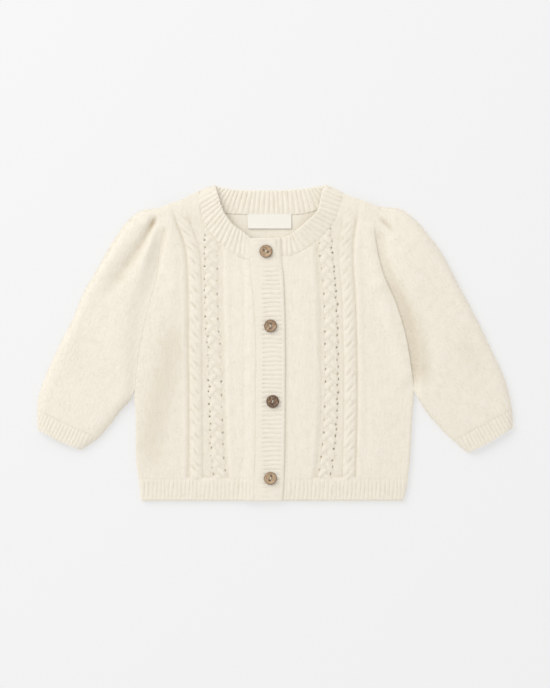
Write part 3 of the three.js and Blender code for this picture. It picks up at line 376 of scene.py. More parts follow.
def eyelets(lines, outward, topY):
    # centre, radius across and along of each hole
    holes = []
    for row in eyeletRows:
        for k in range(int((topY - hem["top"] - row["spare"]) / row["pitch"])):
            y = hem["top"] + row["start"] + k * row["pitch"]
            y += random.uniform(-row["alongBy"], row["alongBy"])
            x = readTable(lines, "y", "braid", y) + outward * row["aside"][k % 2]
            x += random.uniform(-row["acrossBy"], row["acrossBy"])
            size = random.uniform(*row["size"])
            holes.append((x, y, size, size * random.uniform(*row["tall"])))
    return holes


def openEyelets(bm, x, y, holes):
    # takes out the few cells in the middle of each hole
    cx, cy = faceMiddles(bm, x, y)
    gone = np.zeros(cx.shape, bool)
    for hx, hy, rx, ry in holes:
        off = ((cx - hx) / (rx * eyeletCut[0])) ** 2 + ((cy - hy) / (ry * eyeletCut[1])) ** 2
        gone |= off < 1
    dropFaces(bm, gone)


def eyeletPits(x, y, holes):
    reach = 4
    pit = np.zeros(x.shape)
    for hx, hy, rx, ry in holes:
        near = (np.abs(x - hx) < reach) & (np.abs(y - hy) < reach)
        off = ((x[near] - hx) / rx) ** 2 + ((y[near] - hy) / ry) ** 2
        pit[near] += 1.3 * min(1, rx / 0.8) * np.exp(-off)
    return np.minimum(pit, 1.5)


def ribWave(place):
    # rounded rib with a narrow groove, from -0.5 to 0.5
    return np.abs(np.sin(math.pi * place)) ** 0.8 - 0.5


# mesh helpers

def newGrid(columns, rows):
    # a flat grid, and each vertex's place on it, 0 to 1 both ways
    bm = bmesh.new()
    bmesh.ops.create_grid(bm, x_segments=columns, y_segments=rows, size=0.5)
    flat = np.array([vert.co[:2] for vert in bm.verts]) + 0.5
    return bm, flat[:, 0], flat[:, 1]


def faceMiddles(bm, x, y):
    bm.verts.index_update()
    corners = np.array([[vert.index for vert in face.verts] for face in bm.faces])
    return x[corners].mean(axis=1), y[corners].mean(axis=1)


def dropFaces(bm, gone):
    faces = [face for face, cut in zip(bm.faces, gone) if cut]
    bmesh.ops.delete(bm, geom=faces, context="FACES")


def moveVerts(bm, x, y, z):
    for vert, px, py, pz in zip(bm.verts, x, y, z):
        vert.co = (px * mm, py * mm, max(pz, 0) * mm)


def placesOf(verts):
    # where the vertices lie, in millimetres: all x, all y and all z
    return (np.array([vert.co[:] for vert in verts]) / mm).T


def layFabric(bm, u, v):
    # fabric coordinates in centimetres, for the knit pattern
    bm.verts.index_update()
    layer = bm.loops.layers.uv.new("fabric")
    for face in bm.faces:
        for loop in face.loops:
            i = loop.vert.index
            loop[layer].uv = (u[i] / 10, v[i] / 10)


def turnOut(bm):
    bmesh.ops.recalc_face_normals(bm, faces=bm.faces[:])


def weld(bm, reach):
    bmesh.ops.remove_doubles(bm, verts=bm.verts[:], dist=reach)


def closeEnds(bm):
    bmesh.ops.holes_fill(bm, edges=[edge for edge in bm.edges if edge.is_boundary])
    turnOut(bm)


def neighbourMean(ends, share, values):
    # mean of the values at each vertex's neighbours
    near, far = ends.T
    return (np.bincount(near, values[far], len(share))
            + np.bincount(far, values[near], len(share))) / share


def paintShadeInHollows(bm, rounds=5, reach=0.9, shade=0):
    # how deep each spot lies below the cloth around it, painted as shade in the grooves,
    # and the broad painted shade given with it
    bm.verts.index_update()
    bm.normal_update()
    co = np.array([vert.co[:] for vert in bm.verts])
    normal = np.array([vert.normal[:] for vert in bm.verts])
    ends = np.array([[vert.index for vert in edge.verts] for edge in bm.edges])
    share = np.bincount(ends.ravel(), minlength=len(co))
    level = co
    for _ in range(rounds):
        level = np.stack([neighbourMean(ends, share, level[:, k]) for k in range(3)], axis=1)
    depth = ((level - co) * normal).sum(axis=1) / mm
    onRim = np.array([vert.is_boundary for vert in bm.verts], float)
    for _ in range(3):
        onRim = np.maximum(onRim, neighbourMean(ends, share, onRim))
    depth *= 1 - np.minimum(onRim * 2, 1)
    layer = bm.verts.layers.float.new("paintedShade")
    for vert, value in zip(bm.verts, np.clip(np.clip(depth / reach, 0, 1) + shade, 0, 1)):
        vert[layer] = value


def addObject(name, data):
    piece = bpy.data.objects.new(name, data)
    bpy.context.collection.objects.link(piece)
    return piece


def meshFrom(bm, name):
    mesh = bpy.data.meshes.new(name)
    bm.to_mesh(mesh)
    bm.free()
    return mesh


def bmeshOf(mesh):
    bm = bmesh.new()
    bm.from_mesh(mesh)
    return bm


def meshOf(piece):
    # the piece's mesh with its modifiers worked in
    graph = bpy.context.evaluated_depsgraph_get()
    return bpy.data.meshes.new_from_object(piece.evaluated_get(graph))


def sharpenFolds(mesh):
    mesh.set_sharp_from_angle(angle=math.radians(60))


def finishPiece(name, bm, material, nodes):
    mesh = meshFrom(bm, name)
    mesh.materials.append(material)
    mesh.polygons.foreach_set("use_smooth", [True] * len(mesh.polygons))
    sharpenFolds(mesh)
    piece = addObject(name, mesh)
    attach(piece, "root")
    if nodes:
        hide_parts(*nodes)
    return piece


def addWall(piece, thickness):
    # thickness down from the surface
    wall = piece.modifiers.new("wall", "SOLIDIFY")
    wall.thickness = thickness * mm
    wall.offset = -1


def cutSheet(outline, across, along):
    # a grid of small cells cut to the outline, its rim drawn out to it
    low, high = outline.min(axis=0), outline.max(axis=0)
    bm, u, v = newGrid(int((high[0] - low[0]) / across), int((high[1] - low[1]) / along))
    x, y = mix(low[0], high[0], u), mix(low[1], high[1], v)
    middles = faceMiddles(bm, x, y)
    number = bm.verts.layers.int.new("number")
    for vert in bm.verts:
        vert[number] = vert.index
    dropFaces(bm, ~isInside(outline, *middles))
    kept = np.array([vert[number] for vert in bm.verts])
    bm.verts.layers.int.remove(number)
    x, y = x[kept], y[kept]
    rim = np.array([vert.is_boundary for vert in bm.verts])
    for i in np.nonzero(rim)[0]:
        k = np.argmin((outline[:, 0] - x[i]) ** 2 + (outline[:, 1] - y[i]) ** 2)
        x[i], y[i] = outline[k]
    return bm, x, y


def closeWall(bm, underside):
    # doubles the sheet and sets its lower side to a plain underside
    upper = set(bm.verts)
    bmesh.ops.solidify(bm, geom=bm.faces[:], thickness=0.8 * mm)
    lower = [vert for vert in bm.verts if vert not in upper]
    px, py, _ = placesOf(lower)
    for vert, z in zip(lower, underside(px, py)):
        vert.co.z = z * mm
    # the rim's faces come in no fixed order, so they are put last and in order by place
    rim = [face for face in bm.faces if 0 < len(upper.intersection(face.verts)) < len(face.verts)]
    rim.sort(key=lambda face: face.calc_center_median()[:])
    order = {face: len(bm.faces) + k for k, face in enumerate(rim)}
    bm.faces.index_update()
    bm.faces.sort(key=lambda face: order.get(face, face.index))
    turnOut(bm)


# materials

def setInputs(tree, node, inputs):
    # outputs of other nodes are linked, numbers and colours are set
    for name, value in inputs.items():
        if isinstance(value, bpy.types.NodeSocket):
            tree.links.new(value, node.inputs[name])
        else:
            node.inputs[name].default_value = value


def nodeOf(tree, kind, inputs=None, **settings):
    node = tree.nodes.new(kind)
    for key, value in settings.items():
        setattr(node, key, value)
    setInputs(tree, node, inputs or {})
    return node.outputs


def mathNode(tree, operation, *values):
    return nodeOf(tree, "ShaderNodeMath", dict(enumerate(values)), operation=operation)[0]


def noiseOf(tree, vector, scale, detail=2, roughness=0.5, distortion=0):
    inputs = {"Vector": vector, "Scale": scale, "Detail": detail,
              "Roughness": roughness, "Distortion": distortion}
    return nodeOf(tree, "ShaderNodeTexNoise", inputs)["Fac"]


def bumpOf(tree, height, strength, distance, normal=None):
    inputs = {"Height": height, "Strength": strength, "Distance": distance}
    if normal is not None:
        inputs["Normal"] = normal
    return nodeOf(tree, "ShaderNodeBump", inputs)["Normal"]


def blendOf(tree, share, first, second):
    inputs = {"Fac": share, "Color1": first, "Color2": second}
    return nodeOf(tree, "ShaderNodeMixRGB", inputs)["Color"]


def newMaterial(name):
    material = bpy.data.materials.new(name)
    material.use_nodes = True
    tree = material.node_tree
    return material, tree, tree.nodes["Principled BSDF"]


# stitch sizes in centimetres, noises as scale and detail, bumps as strength and depth in metres
woolLook = {
    "light": (0.912, 0.857, 0.75, 1),
    "deep": (0.785, 0.716, 0.583, 1),
    # colour that the painted shade in grooves and creases goes towards
    "groove": (0.50, 0.40, 0.25, 1),
    "roughness": 0.95,
    "sheen": 0.9,
    "wale": 0.203,
    "course": 0.16,
    "brushed": (240, 3), "cloud": (130, 3), "fuzz": (900, 4, 0.65), "streak": (4.4, 0.7, 1),
    "stitchBump": 0.0009, "fuzzBump": 0.0005, "streakBump": (0.5, 0.0008),
}


def brushedWool(name, stitchDepth, fuzzDepth):
    # stockinette V stitches half hidden under brushed fuzz
    look = woolLook
    material, tree, shader = newMaterial(name)

    def calc(operation, *values):
        return mathNode(tree, operation, *values)

    fabric = nodeOf(tree, "ShaderNodeUVMap", uv_map="fabric")["UV"]
    place = nodeOf(tree, "ShaderNodeTexCoord")["Object"]
    split = nodeOf(tree, "ShaderNodeSeparateXYZ", {0: fabric})
    wale = calc("DIVIDE", split["X"], look["wale"])
    course = calc("DIVIDE", split["Y"], look["course"])
    side = calc("ABSOLUTE", calc("SUBTRACT", calc("FRACT", wale), 0.5))
    lean = calc("SUBTRACT", course, calc("MULTIPLY", side, 1.5))
    along = calc("ABSOLUTE", calc("SUBTRACT", calc("FRACT", lean), 0.5))
    leg = calc("ABSOLUTE", calc("SUBTRACT", side, 0.25))
    acrossLeg = calc("SUBTRACT", 1, calc("POWER", calc("MULTIPLY", leg, 3.6), 2))
    alongLeg = calc("SUBTRACT", 1, calc("POWER", calc("MULTIPLY", along, 1.9), 2))
    stitch = calc("MULTIPLY", acrossLeg, calc("ADD", calc("MULTIPLY", alongLeg, 0.5), 0.5))
    # the brushing leaves the stitches in patches
    brushed = noiseOf(tree, place, *look["brushed"])
    showing = calc("MULTIPLY", calc("SUBTRACT", brushed, 0.42), 4)
    stitch = calc("MULTIPLY", stitch, calc("MINIMUM", calc("MAXIMUM", showing, 0), 1))
    fuzz = noiseOf(tree, place, *look["fuzz"])
    cloud = noiseOf(tree, place, *look["cloud"])
    stretched = nodeOf(tree, "ShaderNodeMapping", {"Vector": fabric, "Scale": look["streak"]})
    streak = noiseOf(tree, stretched["Vector"], 1, 3)
    normal = bumpOf(tree, stitch, stitchDepth, look["stitchBump"])
    normal = bumpOf(tree, fuzz, fuzzDepth, look["fuzzBump"], normal)
    normal = bumpOf(tree, streak, *look["streakBump"], normal)
    grain = calc("ADD", calc("MULTIPLY", cloud, 0.4), calc("MULTIPLY", streak, 0.6))
    # the stitches' crests a little lighter than their grooves: painted shade in the stitches
    amount = calc("ADD", calc("MULTIPLY", stitch, 0.05), grain)
    amount = calc("MINIMUM", calc("ADD", amount, 0.25), 1)
    tone = blendOf(tree, amount, look["deep"], look["light"])
    # painted shade in grooves and creases, from the vertex attribute, mixed towards the groove
    # colour
    paintedShade = nodeOf(tree, "ShaderNodeAttribute", attribute_name="paintedShade")["Fac"]
    setInputs(tree, shader, {
        "Normal": normal,
        "Base Color": blendOf(tree, paintedShade, tone, look["groove"]),
        "Roughness": look["roughness"],
        "Sheen Weight": look["sheen"],
        "Sheen Roughness": 0.6,
        "Sheen Tint": (1, 0.97, 0.9, 1),
        "Specular IOR Level": 0.2,
    })
    return material


shellLook = {
    # dark brown towards the rim, also painted as shade on the walls of the holes
    "rim": (0.10, 0.055, 0.035, 1),
    "dark": (0.12, 0.065, 0.035, 1),
    "middle": (0.34, 0.22, 0.13, 1),
    "pale": (0.56, 0.40, 0.245, 1),
    "places": (0.36, 0.47, 0.62),
    "mottle": (420, 7, 0.6, 1.4),
    "roughness": 0.38,
}


def turnedShell(name):
    # brown mottled shell, dark round the rim, with painted shade in the holes, a different depth of
    # brown on each button
    look = shellLook
    material, tree, shader = newMaterial(name)
    place = nodeOf(tree, "ShaderNodeTexCoord")["Object"]
    mottle = noiseOf(tree, place, *look["mottle"])
    tone = nodeOf(tree, "ShaderNodeAttribute", attribute_name="tone")["Fac"]
    rim = nodeOf(tree, "ShaderNodeAttribute", attribute_name="rim")["Fac"]
    ramp = tree.nodes.new("ShaderNodeValToRGB")
    stops = ramp.color_ramp.elements
    dark, middle, pale = look["places"]
    stops[0].position, stops[0].color = dark, look["dark"]
    stops[1].position, stops[1].color = pale, look["pale"]
    stops.new(middle).color = look["middle"]
    setInputs(tree, ramp, {"Fac": mathNode(tree, "ADD", mottle, tone)})
    edge = mathNode(tree, "MULTIPLY", rim, 0.8)
    setInputs(tree, shader, {
        "Base Color": blendOf(tree, edge, ramp.outputs["Color"], look["rim"]),
        "Normal": bumpOf(tree, mottle, 0.25, 0.0002),
        "Roughness": look["roughness"],
    })
    return material


# cloth of two close tones: label tape, sewing thread and stray fibres
tapeLook = {
    "dark": (0.86, 0.82, 0.73, 1), "light": (0.93, 0.90, 0.83, 1), "bump": (0.3, 0.0001),
    "finish": {"Roughness": 0.6, "Sheen Weight": 0.2},
    "weave": {"Scale": 14, "Distortion": 0.6, "Detail": 2},
}
threadLook = {
    "dark": (0.66, 0.60, 0.49, 1), "light": (0.88, 0.83, 0.72, 1), "bump": (0.4, 0.0001),
    "finish": {"Roughness": 0.7}, "noise": 2600,
}
# the fibres are a paler copy of the wool: painted light, for light shining through the fuzz
fibreLook = {
    "dark": (0.88, 0.82, 0.70, 1), "light": (0.97, 0.94, 0.87, 1),
    "finish": {"Roughness": 0.9, "Specular IOR Level": 0.2}, "noise": 700,
}


def twoTones(name, look):
    material, tree, shader = newMaterial(name)
    if "weave" in look:
        fabric = nodeOf(tree, "ShaderNodeUVMap", uv_map="fabric")["UV"]
        pattern = nodeOf(tree, "ShaderNodeTexWave", {"Vector": fabric, **look["weave"]},
                         wave_type="BANDS", bands_direction="Y")["Fac"]
    else:
        pattern = noiseOf(tree, nodeOf(tree, "ShaderNodeTexCoord")["Object"], look["noise"])
    if "bump" in look:
        setInputs(tree, shader, {"Normal": bumpOf(tree, pattern, *look["bump"])})
    colour = blendOf(tree, pattern, look["dark"], look["light"])
    setInputs(tree, shader, {"Base Color": colour, **look["finish"]})
    return material


plainKnit = brushedWool("creamKnit", 0.12, 0.6)
ribKnit = brushedWool("creamRib", 0.1, 0.6)
shell = turnedShell("turnedShell")
tape = twoTones("labelTape", tapeLook)
thread = twoTones("sewingThread", threadLook)
fibre = twoTones("woolFibre", fibreLook)


# fronts

frontShape = {
    "across": 0.72, "along": 1.25,  # size of a cell
    "sideRound": 3.2, "hemRound": 1.8, "armRound": 3, "topRound": 2.2, "joinRound": 2.4,
    "topDip": 0.5, "underBands": 0.35, "waves": 0.1,
    "joinDip": {"rightSide": 0.4, "leftSide": 0.15},
    "eyeletTop": {"rightSide": 123, "leftSide": 133},
    # painted shade on the sunken cable ground, in the band beside the right armhole and along the
    # sunken join with the band
    "groundShade": 0.07, "sideShade": 0.24, "joinShade": 0.7,
}
# painted shade in a broad band down the front beside the right armhole
sideShadePath = [(-97, 48), (-103, 8), (-109, -32), (-121, -77), (-125, -122), (-118, -150)]
sideShadeWidth = 15


def lineAlong(rows, column, heights, shift):
    # points at these heights along an edge that a table gives
    return np.stack([readTable(rows, "y", column, heights) + shift, heights], axis=1)


def frontOutline(side, top):
    # hem, placket, neck, shoulder and side as one closed dense line, and its parts
    isRight = side == "rightSide"
    topLine = np.array(top if isRight else top[::-1], float)
    tip, neckEnd = topLine[0, 1], topLine[-1, 1]
    sideLine = lineAlong(sideRows, side, np.arange(hem["bottom"], underarmHeight, 1.0), 0)
    armLine = lineAlong(sideRows, side, np.arange(underarmHeight, tip, 1.0), 0)
    heights = np.arange(hem["bottom"], neckEnd, 1.0)
    if isRight:
        placket = lineAlong(overBandRows, "left", heights, frontShape["underBands"])
    else:
        placket = lineAlong(underBandRows, "right", heights, -frontShape["underBands"])
    hemLine = np.array([sideLine[0], placket[0]])
    closed = np.concatenate([sideLine, armLine, topLine, placket[::-1], hemLine[::-1]])
    return {
        "closed": denseLine(closed, 0.4),
        "side": denseLine(sideLine),
        "arm": denseLine(armLine),
        "top": denseLine(topLine),
        "placket": denseLine(placket),
    }


def armDip(side, y):
    # how far the armhole seam sinks; it fades below on the wearer's right
    if side == "rightSide":
        return 0.2 * smoothStep(30, 80, y)
    return 0.3 + 0.2 * smoothStep(-40, 10, y)


def sleeveDip(side, y):
    # how far the sleeve starts below the front's top; on the wearer's left it slips under
    if side == "rightSide":
        return armDip(side, y)
    return 0.3 + 2.3 * smoothStep(-52, -20, y) * (1 - smoothStep(104, 120, y))


def buildFront(name, node, side, top, lines, outward):
    shape = frontShape
    outline = frontOutline(side, top)
    bm, x, y = cutSheet(outline["closed"], shape["across"], shape["along"])
    toSide, toArm, toTop, toPlacket = (
        distanceTo(outline[edge], x, y)[0] for edge in ("side", "arm", "top", "placket")
    )
    relief, ground = cableRelief(x, y, lines, outward)
    holes = eyelets(lines, outward, shape["eyeletTop"][side])
    relief = relief - eyeletPits(x, y, holes)

    inHem = 1 - smoothStep(hem["top"] - 5, hem["top"] + 1.5, y)
    wander = (0.35 * np.sin(x * 0.21 + 0.05 * y) + 0.25 * np.sin(x * 0.083 + 1)
              + 0.2 * np.sin(0.3 * y + x * 0.4))
    fromPlacket = x - readTable(lines, "y", "placket", y)
    ribs = ribWave((fromPlacket + wander) / hem["ribPitch"]) * hem["ribHeight"]
    hemLine = -0.1 * bell(y - hem["top"] - 0.4, 1.4)
    waves = shape["waves"] * np.sin(x * 0.31 + 1.7 * np.sin(y * 0.11)) * np.sin(y * 0.17 + x * 0.13)
    body = cloth["thickness"] + relief + ribs * inHem + hemLine
    body = body + waves * (1 - inHem) * smoothStep(0, 10, toArm)
    body *= mix(0.28, 1, roundOver(toSide, shape["sideRound"]))
    body *= mix(0.4, 1, roundOver(y - hem["bottom"], shape["hemRound"]))
    body -= armDip(side, y) * (1 - roundOver(toArm, shape["armRound"]))
    if side == "rightSide":
        # a pleat of the sleeve runs on into the front
        body = softMaximum(body + foldHeight(x, y) * smoothStep(14, 0, toArm), 0.9, 0.8)
    body -= shape["topDip"] * (1 - roundOver(toTop, shape["topRound"]))
    joinDip = shape["joinDip"][side]
    body -= joinDip * (1 - roundOver(toPlacket, shape["joinRound"])) * (y > hem["bottom"] + 1)
    moveVerts(bm, x, y, frontUnderside(x, y) + body)
    layFabric(bm, x, y)

    # painted shade on the sunken ground between the cables, in the band beside the right armhole and
    # along the sunken join with the band
    ground = ground * (1 - np.clip(relief / 1.2 + 0.6, 0, 1))
    armShade, along = distanceTo(curveThrough(sideShadePath, 2), x, y)
    armShade = bell(armShade, sideShadeWidth) * smoothStep(0, 0.3, along) * smoothStep(1, 0.7, along)
    join = bell(toPlacket, 1.6) * (joinDip - shape["joinDip"]["leftSide"])
    join = join * smoothStep(hem["top"], hem["top"] + 6, y)
    shade = shape["groundShade"] * ground + shape["sideShade"] * armShade + shape["joinShade"] * join
    paintShadeInHollows(bm, shade=shade)
    openEyelets(bm, x, y, holes)
    closeWall(bm, frontUnderside)
    return finishPiece(name, bm, plainKnit, [node])


print("stage: fronts")
rightFront = buildFront("rightFront", "right_front", "rightSide", rightTop, rightLines, -1)
leftFront = buildFront("leftFront", "left_front", "leftSide", leftTop, leftLines, 1)


# back

backShape = {"cell": 1.9, "inset": 0.8, "top": 134, "edgeRound": 2, "neckShade": 0.14}


def buildBack():
    shape = backShape
    inset = shape["inset"]
    heights = np.arange(hem["bottom"], shape["top"], 1.0)
    closed = np.concatenate([
        lineAlong(sideRows, "rightSide", heights, inset),
        [(x, y - inset) for x, y in rightTop[1:4]],
        np.array(backNeck),
        [(x, y - inset) for x, y in leftTop[-3:-1]],
        lineAlong(sideRows, "leftSide", heights, -inset)[::-1],
    ])
    closed = denseLine(np.vstack([closed, closed[:1]]), 0.5)
    bm, x, y = cutSheet(closed, shape["cell"], shape["cell"])
    edge = distanceTo(closed[::2], x, y)[0]
    neck = smoothStep(60, 105, y)
    sway = 0.25 * np.sin(x * 0.11) * np.sin(y * 0.17) * neck
    rounded = 0.5 * (1 - roundOver(edge, shape["edgeRound"]))
    moveVerts(bm, x, y, backTop - 0.15 * neck - rounded + sway * 0.5)
    layFabric(bm, x, y)
    # painted shade in the corners of the neck
    corners = smoothStep(95, 110, y) * smoothStep(14, 42, np.abs(x + 3))
    paintShadeInHollows(bm, shade=shape["neckShade"] * corners)
    closeWall(bm, lambda px, py: np.zeros(px.shape))
    return finishPiece("backPanel", bm, plainKnit, ["back"])


backPanel = buildBack()


# sleeves

def sleevePoint(rows, side, inward, along, across):
    table = [
        {"t": i / (len(rows) - 1), "ox": row["outer"][0], "oy": row["outer"][1],
         "lx": row["lower"][0], "ly": row["lower"][1], "height": row["height"]}
        for i, row in enumerate(rows)
    ]
    ox, oy, lx, ly, height = (
        readTable(table, "t", column, along) for column in ("ox", "oy", "lx", "ly", "height")
    )
    # the first section is drawn in under the front's curved edge
    first = table[0]
    seamY = mix(first["oy"], first["ly"], across)
    straightX = mix(first["ox"], first["lx"], across)
    seamX = readTable(sideRows, "y", side, seamY) + inward * cloth["seamTuck"]
    inside = across * (1 - across) > 0.0001
    hold = np.where(inside, 1 - smoothStep(0, 0.5, along), 0)
    cuffBow = -0.8 * np.sin(math.pi * across) * smoothStep(0.5, 1, along)
    x = mix(ox, lx, across) + (seamX - straightX) * hold
    return x, mix(oy, ly, across) + cuffBow, height, np.hypot(ox - lx, oy - ly)


sleeveShape = {
    "around": 210, "along": 170, "topShare": 0.6, "edgeHeight": 2.6, "roundRadius": 13,
    "cuffDepth": 17.5, "ribPitch": 3.8, "ribHeight": 0.55, "thickness": 1.6, "waves": 0.14,
    "rise": {"rightSide": 0.3, "leftSide": 0.2}, "lowRise": 0.09,
    # painted shade along the troughs, as (lower down the sleeve, at the cap)
    "shade": {"rightSide": (0.1, 0.1), "leftSide": (0.36, 0)},
}


def buildSleeve(name, node, rows, side, inward):
    shape = sleeveShape
    topShare = shape["topShare"]
    bm, u, along = newGrid(shape["around"], shape["along"])
    # the upper face takes the first part of the way round, the underside the rest
    onTop = u <= topShare
    across = np.where(onTop, u / topShare, 1 - (u - topShare) / (1 - topShare))
    x, y, height, width = sleevePoint(rows, side, inward, along, across)
    inset = np.minimum(across, 1 - across) * width
    radius = shape["roundRadius"] * np.minimum(1, width / 60)
    crown = mix(shape["edgeHeight"], height, roundOver(inset, radius))

    end = np.array(rows[-1]["outer"], float)
    endLine = np.array(rows[-1]["lower"], float) - end
    endLine = endLine / np.linalg.norm(endLine)
    alongEnd = (x - end[0]) * endLine[0] + (y - end[1]) * endLine[1]
    beyondEnd = (x - end[0]) * endLine[1] - (y - end[1]) * endLine[0]
    fromEnd = np.where(along > 0.6, np.abs(beyondEnd), 99)
    inCuff = 1 - smoothStep(shape["cuffDepth"] - 1.5, shape["cuffDepth"] + 0.8, fromEnd)
    wander = 0.3 * np.sin(alongEnd * 0.35) + 0.02 * fromEnd * np.sin(alongEnd * 0.2)
    ribs = ribWave((alongEnd + wander) / shape["ribPitch"]) * shape["ribHeight"]
    ribs = ribs * inCuff * smoothStep(0, 2, inset)
    cuffLine = -0.3 * bell(fromEnd - shape["cuffDepth"], 1.6)
    cuffEnd = -1.2 * (1 - roundOver(fromEnd, 1.5))

    front = frontUnderside(x, y) + cloth["thickness"] - sleeveDip(side, y) - 0.04
    # the cap puffs up at once, lower down the sleeve rises slowly
    rise = mix(shape["rise"][side], shape["lowRise"], smoothStep(15, 95, y))
    atSeam = (1 - smoothStep(0, rise, along)) * smoothStep(0, 5, inset)
    waves = shape["waves"] * np.sin(x * 0.24 + 2 * np.sin(y * 0.09)) * np.sin(y * 0.15 - x * 0.1)
    waves = waves * smoothStep(0, 8, inset) * (1 - inCuff)
    fold = foldHeight(x, y) * smoothStep(0, 6, inset) * (1 - inCuff)
    upper = mix(crown + ribs + cuffLine + cuffEnd + waves, front, atSeam) + fold
    lowest = mix(shape["edgeHeight"] - 0.8, 3.6, smoothStep(0, 6, inset))
    under = shape["edgeHeight"] * (1 - roundOver(inset, 4.5)) + np.maximum(-ribs, 0) * 0.8
    moveVerts(bm, x, y, np.where(onTop, softMaximum(upper, lowest, 2.2), under))
    # stitches run down the sleeve, square to the cuff
    layFabric(bm, alongEnd, beyondEnd)
    weld(bm, 0.02 * mm)
    turnOut(bm)
    topFaces = [face for face in bm.faces if face.calc_center_median().z > 6 * mm]
    if sum(face.normal.z * face.calc_area() for face in topFaces) < 0:
        bmesh.ops.reverse_faces(bm, faces=bm.faces[:])
    px, py, pz = placesOf(bm.verts)
    # painted shade along the troughs of the sleeve
    deep = np.clip(-foldHeight(px, py) / 2.5, 0, 1) * smoothStep(2, 3.5, pz)
    paintShadeInHollows(bm, shade=deep * mix(*shape["shade"][side], smoothStep(20, 105, py)))
    piece = finishPiece(name, bm, plainKnit, [node])
    addWall(piece, shape["thickness"])
    piece.data = meshOf(piece)
    piece.modifiers.clear()
    sharpenFolds(piece.data)
    return piece


print("stage: sleeves")
rightSleeve = buildSleeve("rightSleeve", "right_sleeve", rightSleeveRows, "rightSide", 1)
leftSleeve = buildSleeve("leftSleeve", "left_sleeve", leftSleeveRows, "leftSide", -1)


# neckband and bands

def wallLoop(around, depth, width, firstRound, lastRound):
    # goes once round the section of a strip: place across it and offset from its middle
    angle = around * 2 * math.pi
    across = 0.5 - 0.5 * np.sign(np.cos(angle)) * np.abs(np.cos(angle)) ** 0.55
    offset = roundOver(across * width, firstRound) * roundOver((1 - across) * width, lastRound)
    return across, np.sign(np.sin(angle)) * (depth / 2) * offset


def neckSurface(along, across):
    # x, y and z of both edges, read along the sections and mixed across
    last = len(neckRows) - 1
    point = []
    for k in range(3):
        rows = [{"t": i / last, "seam": row["seam"][k], "free": row["free"][k]}
                for i, row in enumerate(neckRows)]
        seam, free = (readTable(rows, "t", edge, along) for edge in ("seam", "free"))
        point.append(mix(seam, free, across))
    return np.stack(point, axis=1)


neckShape = {
    "along": 680, "round": 30, "ribPitch": 4.8, "ribHeight": 1.0, "thickness": 2.3, "width": 22,
    # sections between which it turns over, behind the neck, and runs on under the band
    "turnStart": (9.3, 10.2), "turnEnd": (17.8, 18.7), "covered": (28.2, 28.8),
    "seamReach": 0.045, "backReach": 0.02, "seamSink": 0.6,
}


def buildNeckband():
    shape = neckShape
    width = shape["width"]
    fine = np.linspace(0, 1, 900)
    lengths = lengthsAlong(neckSurface(fine, np.full(900, 0.5)))
    bm, u, v = newGrid(shape["along"], shape["round"])
    along = np.interp(u * lengths[-1], lengths, fine)
    across, offset = wallLoop(v, shape["thickness"], width, 0.3, 1.3)
    step = 0.002
    before, after = np.maximum(along - step, 0), np.minimum(along + step, 1)
    tangent = neckSurface(after, across) - neckSurface(before, across)
    outward = neckSurface(along, np.ones(along.shape)) - neckSurface(along, np.zeros(along.shape))
    normal = np.cross(outward, tangent)
    normal /= np.linalg.norm(normal, axis=1)[:, None]

    row = along * (len(neckRows) - 1)
    atFront = smoothStep(0, 1.1, row)
    atTurn = smoothStep(*shape["turnStart"], row)
    atBack = atTurn * (1 - smoothStep(*shape["turnEnd"], row))
    covered = smoothStep(*shape["covered"], row)
    wander = 0.25 * np.sin(u * 90 + across * 2) + 0.2 * np.sin(u * 41)
    rib = ribWave(u * lengths[-1] / shape["ribPitch"] + wander / shape["ribPitch"])
    fromEdge = np.minimum(across, 1 - across) * width
    rib = rib * shape["ribHeight"] * mix(0.5, 1, smoothStep(0, 2.5, fromEdge))
    faint = mix(0.15, 1, atFront) * mix(1, 0.55, smoothStep(6.5, 8.5, row) - atTurn)
    rib = mix(rib * faint, -0.2, covered)
    sink = shape["seamSink"] * (1 - smoothStep(0, 3, across * width)) * (1 - atBack) * atFront
    # at the back the underside rests flat, so its ribs show on the upper side alone
    facing = np.where(offset >= 0, rib * (1 - atBack), -rib * (1 - atBack) * 0.6)
    facing = np.where(offset < 0, facing - (rib + 0.5) * atBack, facing)
    # the seam edge reaches a little over the fronts it is sewn to
    reach = mix(shape["seamReach"], shape["backReach"], atBack)
    reach = across - reach * (1 - across) * (1 - covered)
    point = neckSurface(along, reach) + normal * (offset + facing)[:, None]
    moveVerts(bm, point[:, 0], point[:, 1], point[:, 2] - sink)
    layFabric(bm, u * lengths[-1], across * width)
    weld(bm, 0.01 * mm)
    closeEnds(bm)
    # painted shade in the grooves of the ribs
    paintShadeInHollows(bm, 3, 1.7)
    return finishPiece("neckBand", bm, ribKnit, ["neckband"])


print("stage: neckband and bands")
neckBand = buildNeckband()


bandShape = {"along": 430, "round": 44, "ribPitch": 4.5, "ribHeight": 0.6, "width": 28,
             "rounds": (0.3, 1.3), "endRound": 1.4, "strip": 0.25}


